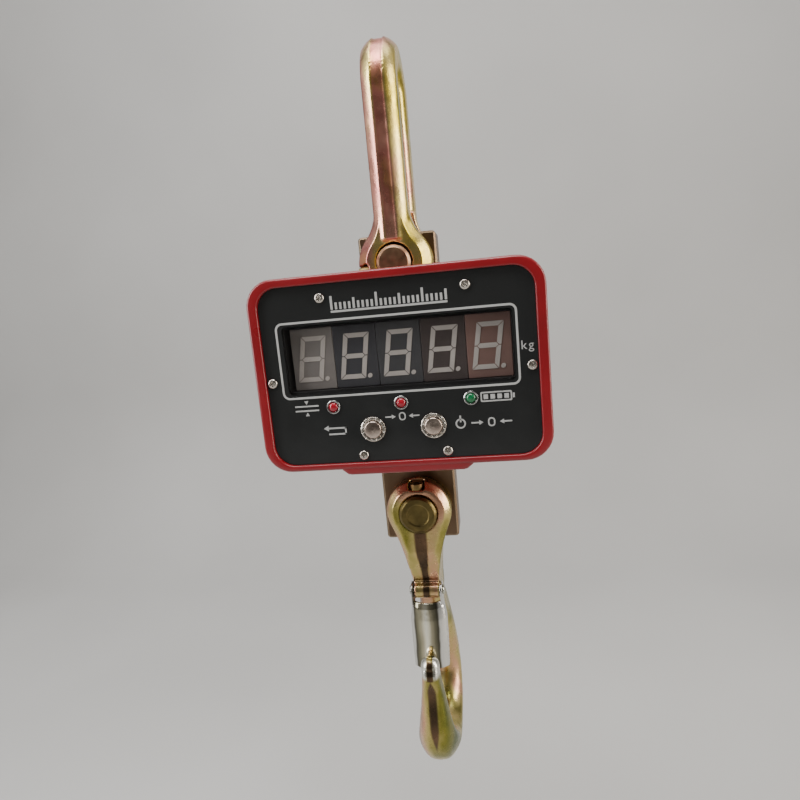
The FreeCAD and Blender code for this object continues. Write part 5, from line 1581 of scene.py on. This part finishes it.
@dataclass
class Studio:
    """A pale sweep of paper, soft lights and the camera in front of the scale."""

    camera_at: Point = (0.0576, -0.4337, -0.1469)
    turn_deg: float = 8.83
    dip_deg: float = 9.82
    roll_deg: float = 5.4
    lens_mm: float = 27.0
    floor_z: float = -0.80
    wall_y: float = 1.30
    paper: PlainStage = PlainStage("matt_grey_paper", "#B2B1AF", 0.9)

    def build_paper(self) -> None:
        """The floor and the wall, joined by a sweep."""
        form = Form()
        radius = 450.0
        floor, wall = self.floor_z / MM, self.wall_y / MM
        profile = [(-2200.0, floor)]
        for i in range(13):
            t = math.radians(90 * i / 12)
            rise = radius * (1 - math.cos(t))
            profile.append((wall - radius + radius * math.sin(t), floor + rise))
        profile.append((wall, 2600.0))
        left = form.ring([(-3200.0, y, z) for y, z in profile])
        right = form.ring([(3200.0, y, z) for y, z in profile])
        for i in range(len(profile) - 1):
            form.faces.append((left[i], right[i], right[i + 1], left[i + 1]))
        sweep = bpy.data.objects.new("paper_sweep", form.mesh("paper_sweep"))
        bpy.context.scene.collection.objects.link(sweep)
        sweep.data.polygons.foreach_set("use_smooth", [True] * len(sweep.data.polygons))
        sweep.data.materials.append(self.paper.material())

    def lamp(
        self,
        name: str,
        at: Point,
        size: tuple[float, float],
        watts: float,
        colour: str = "#FFFFFF",
        aim: Point = (0.0, 0.0, -0.25),
    ) -> None:
        """Adds one soft rectangular light."""
        data = bpy.data.lights.new(name, "AREA")
        data.shape = "RECTANGLE"
        data.size, data.size_y = size
        data.energy = watts
        data.color = linear(colour)[:3]
        light = bpy.data.objects.new(name, data)
        light.location = at
        light.rotation_euler = (Vector(aim) - Vector(at)).to_track_quat("-Z", "Y").to_euler()
        bpy.context.scene.collection.objects.link(light)

    def build_lights(self) -> None:
        """A window-like key from the left, a fill from the right and a low top light."""
        self.lamp("key_left", (-1.5, -0.7, 0.4), (0.5, 1.8), 30.0)
        self.lamp("fill_right", (1.5, -0.3, 0.1), (0.4, 1.6), 22.0, "#FFF6EA")
        self.lamp("top", (-0.1, -0.5, 1.3), (1.2, 0.5), 20.0)
        self.lamp("paper_wash", (0.0, 0.3, 1.6), (2.4, 0.8), 14.0, aim=(0.0, 1.2, -0.4))
        world = bpy.data.worlds.new("soft_room")
        world.use_nodes = True
        tree = world.node_tree
        glow = tree.nodes["Background"]
        glow.inputs["Strength"].default_value = 1.0
        way = add_node(tree, "ShaderNodeTexCoord").outputs["Generated"]
        depth = add_node(
            tree,
            "ShaderNodeMapRange",
            {"From Min": -1.0, "From Max": 1.0},
            {"Value": parts(tree, way)["Y"]},
        )
        room = ramp(
            tree,
            depth.outputs[0],
            ((0.0, "#646360"), (0.2, "#827F7B"), (0.42, "#BDBDBB"), (0.6, "#D2D3D4")),
        )
        tree.links.new(room, glow.inputs["Color"])
        bpy.context.scene.world = world

    def build_camera(self) -> None:
        """The camera, just right of the panel's middle and slightly rolled."""
        turn, dip, roll = (math.radians(a) for a in (self.turn_deg, self.dip_deg, self.roll_deg))
        along = Vector((-math.sin(turn), math.cos(turn), 0.0))
        forward = along * math.cos(dip) - Vector((0.0, 0.0, math.sin(dip)))
        level = Vector((math.cos(turn), math.sin(turn), 0.0))
        up = level.cross(forward)
        right = level * math.cos(roll) - up * math.sin(roll)
        up = right.cross(forward)
        data = bpy.data.cameras.new("camera")
        data.lens = self.lens_mm
        data.sensor_width = 36.0
        data.clip_start = 0.01
        camera = bpy.data.objects.new("camera", data)
        axes = Matrix((right, up, -forward)).transposed().to_4x4()
        camera.matrix_world = Matrix.Translation(self.camera_at) @ axes
        bpy.context.scene.collection.objects.link(camera)
        bpy.context.scene.camera = camera

    def build(self) -> None:
        """Builds the studio."""
        self.build_paper()
        self.build_lights()
        self.build_camera()


def dress_frame() -> None:
    """Gives every CAD node the finish of its slot."""
    slots = {part["node"]: part["material_slot"] for part in frame["record"]["subparts"]}
    for node, obj in frame["nodes"].items():
        if slots[node] == "pin_yellow_zinc":
            centre = tuple(box_mm(node)[1] * MM)
            finish: Finish = TurnedChromate(
                f"{node}_finish", "#7E6044", 0.36, 1.0, "#8E7A4C", centre
            )
        else:
            finish = SLOT_FINISH[slots[node]]
        for place in obj.material_slots:
            place.material = finish.material()
        log.info("node %s: %s", node, finish.name)


def main() -> None:
    """Builds the scene in order and reports each piece."""
    logging.basicConfig(level=logging.INFO, format="%(message)s")
    Studio().build()
    dress_frame()
    for group in (LiftingTrain(), Housing(), PanelPrint(), Digits(), PanelFittings()):
        group.build()
        for name in group.made:
            log.info("%s: %s", type(group).__name__, name)


if __name__ == "__main__":
    main()
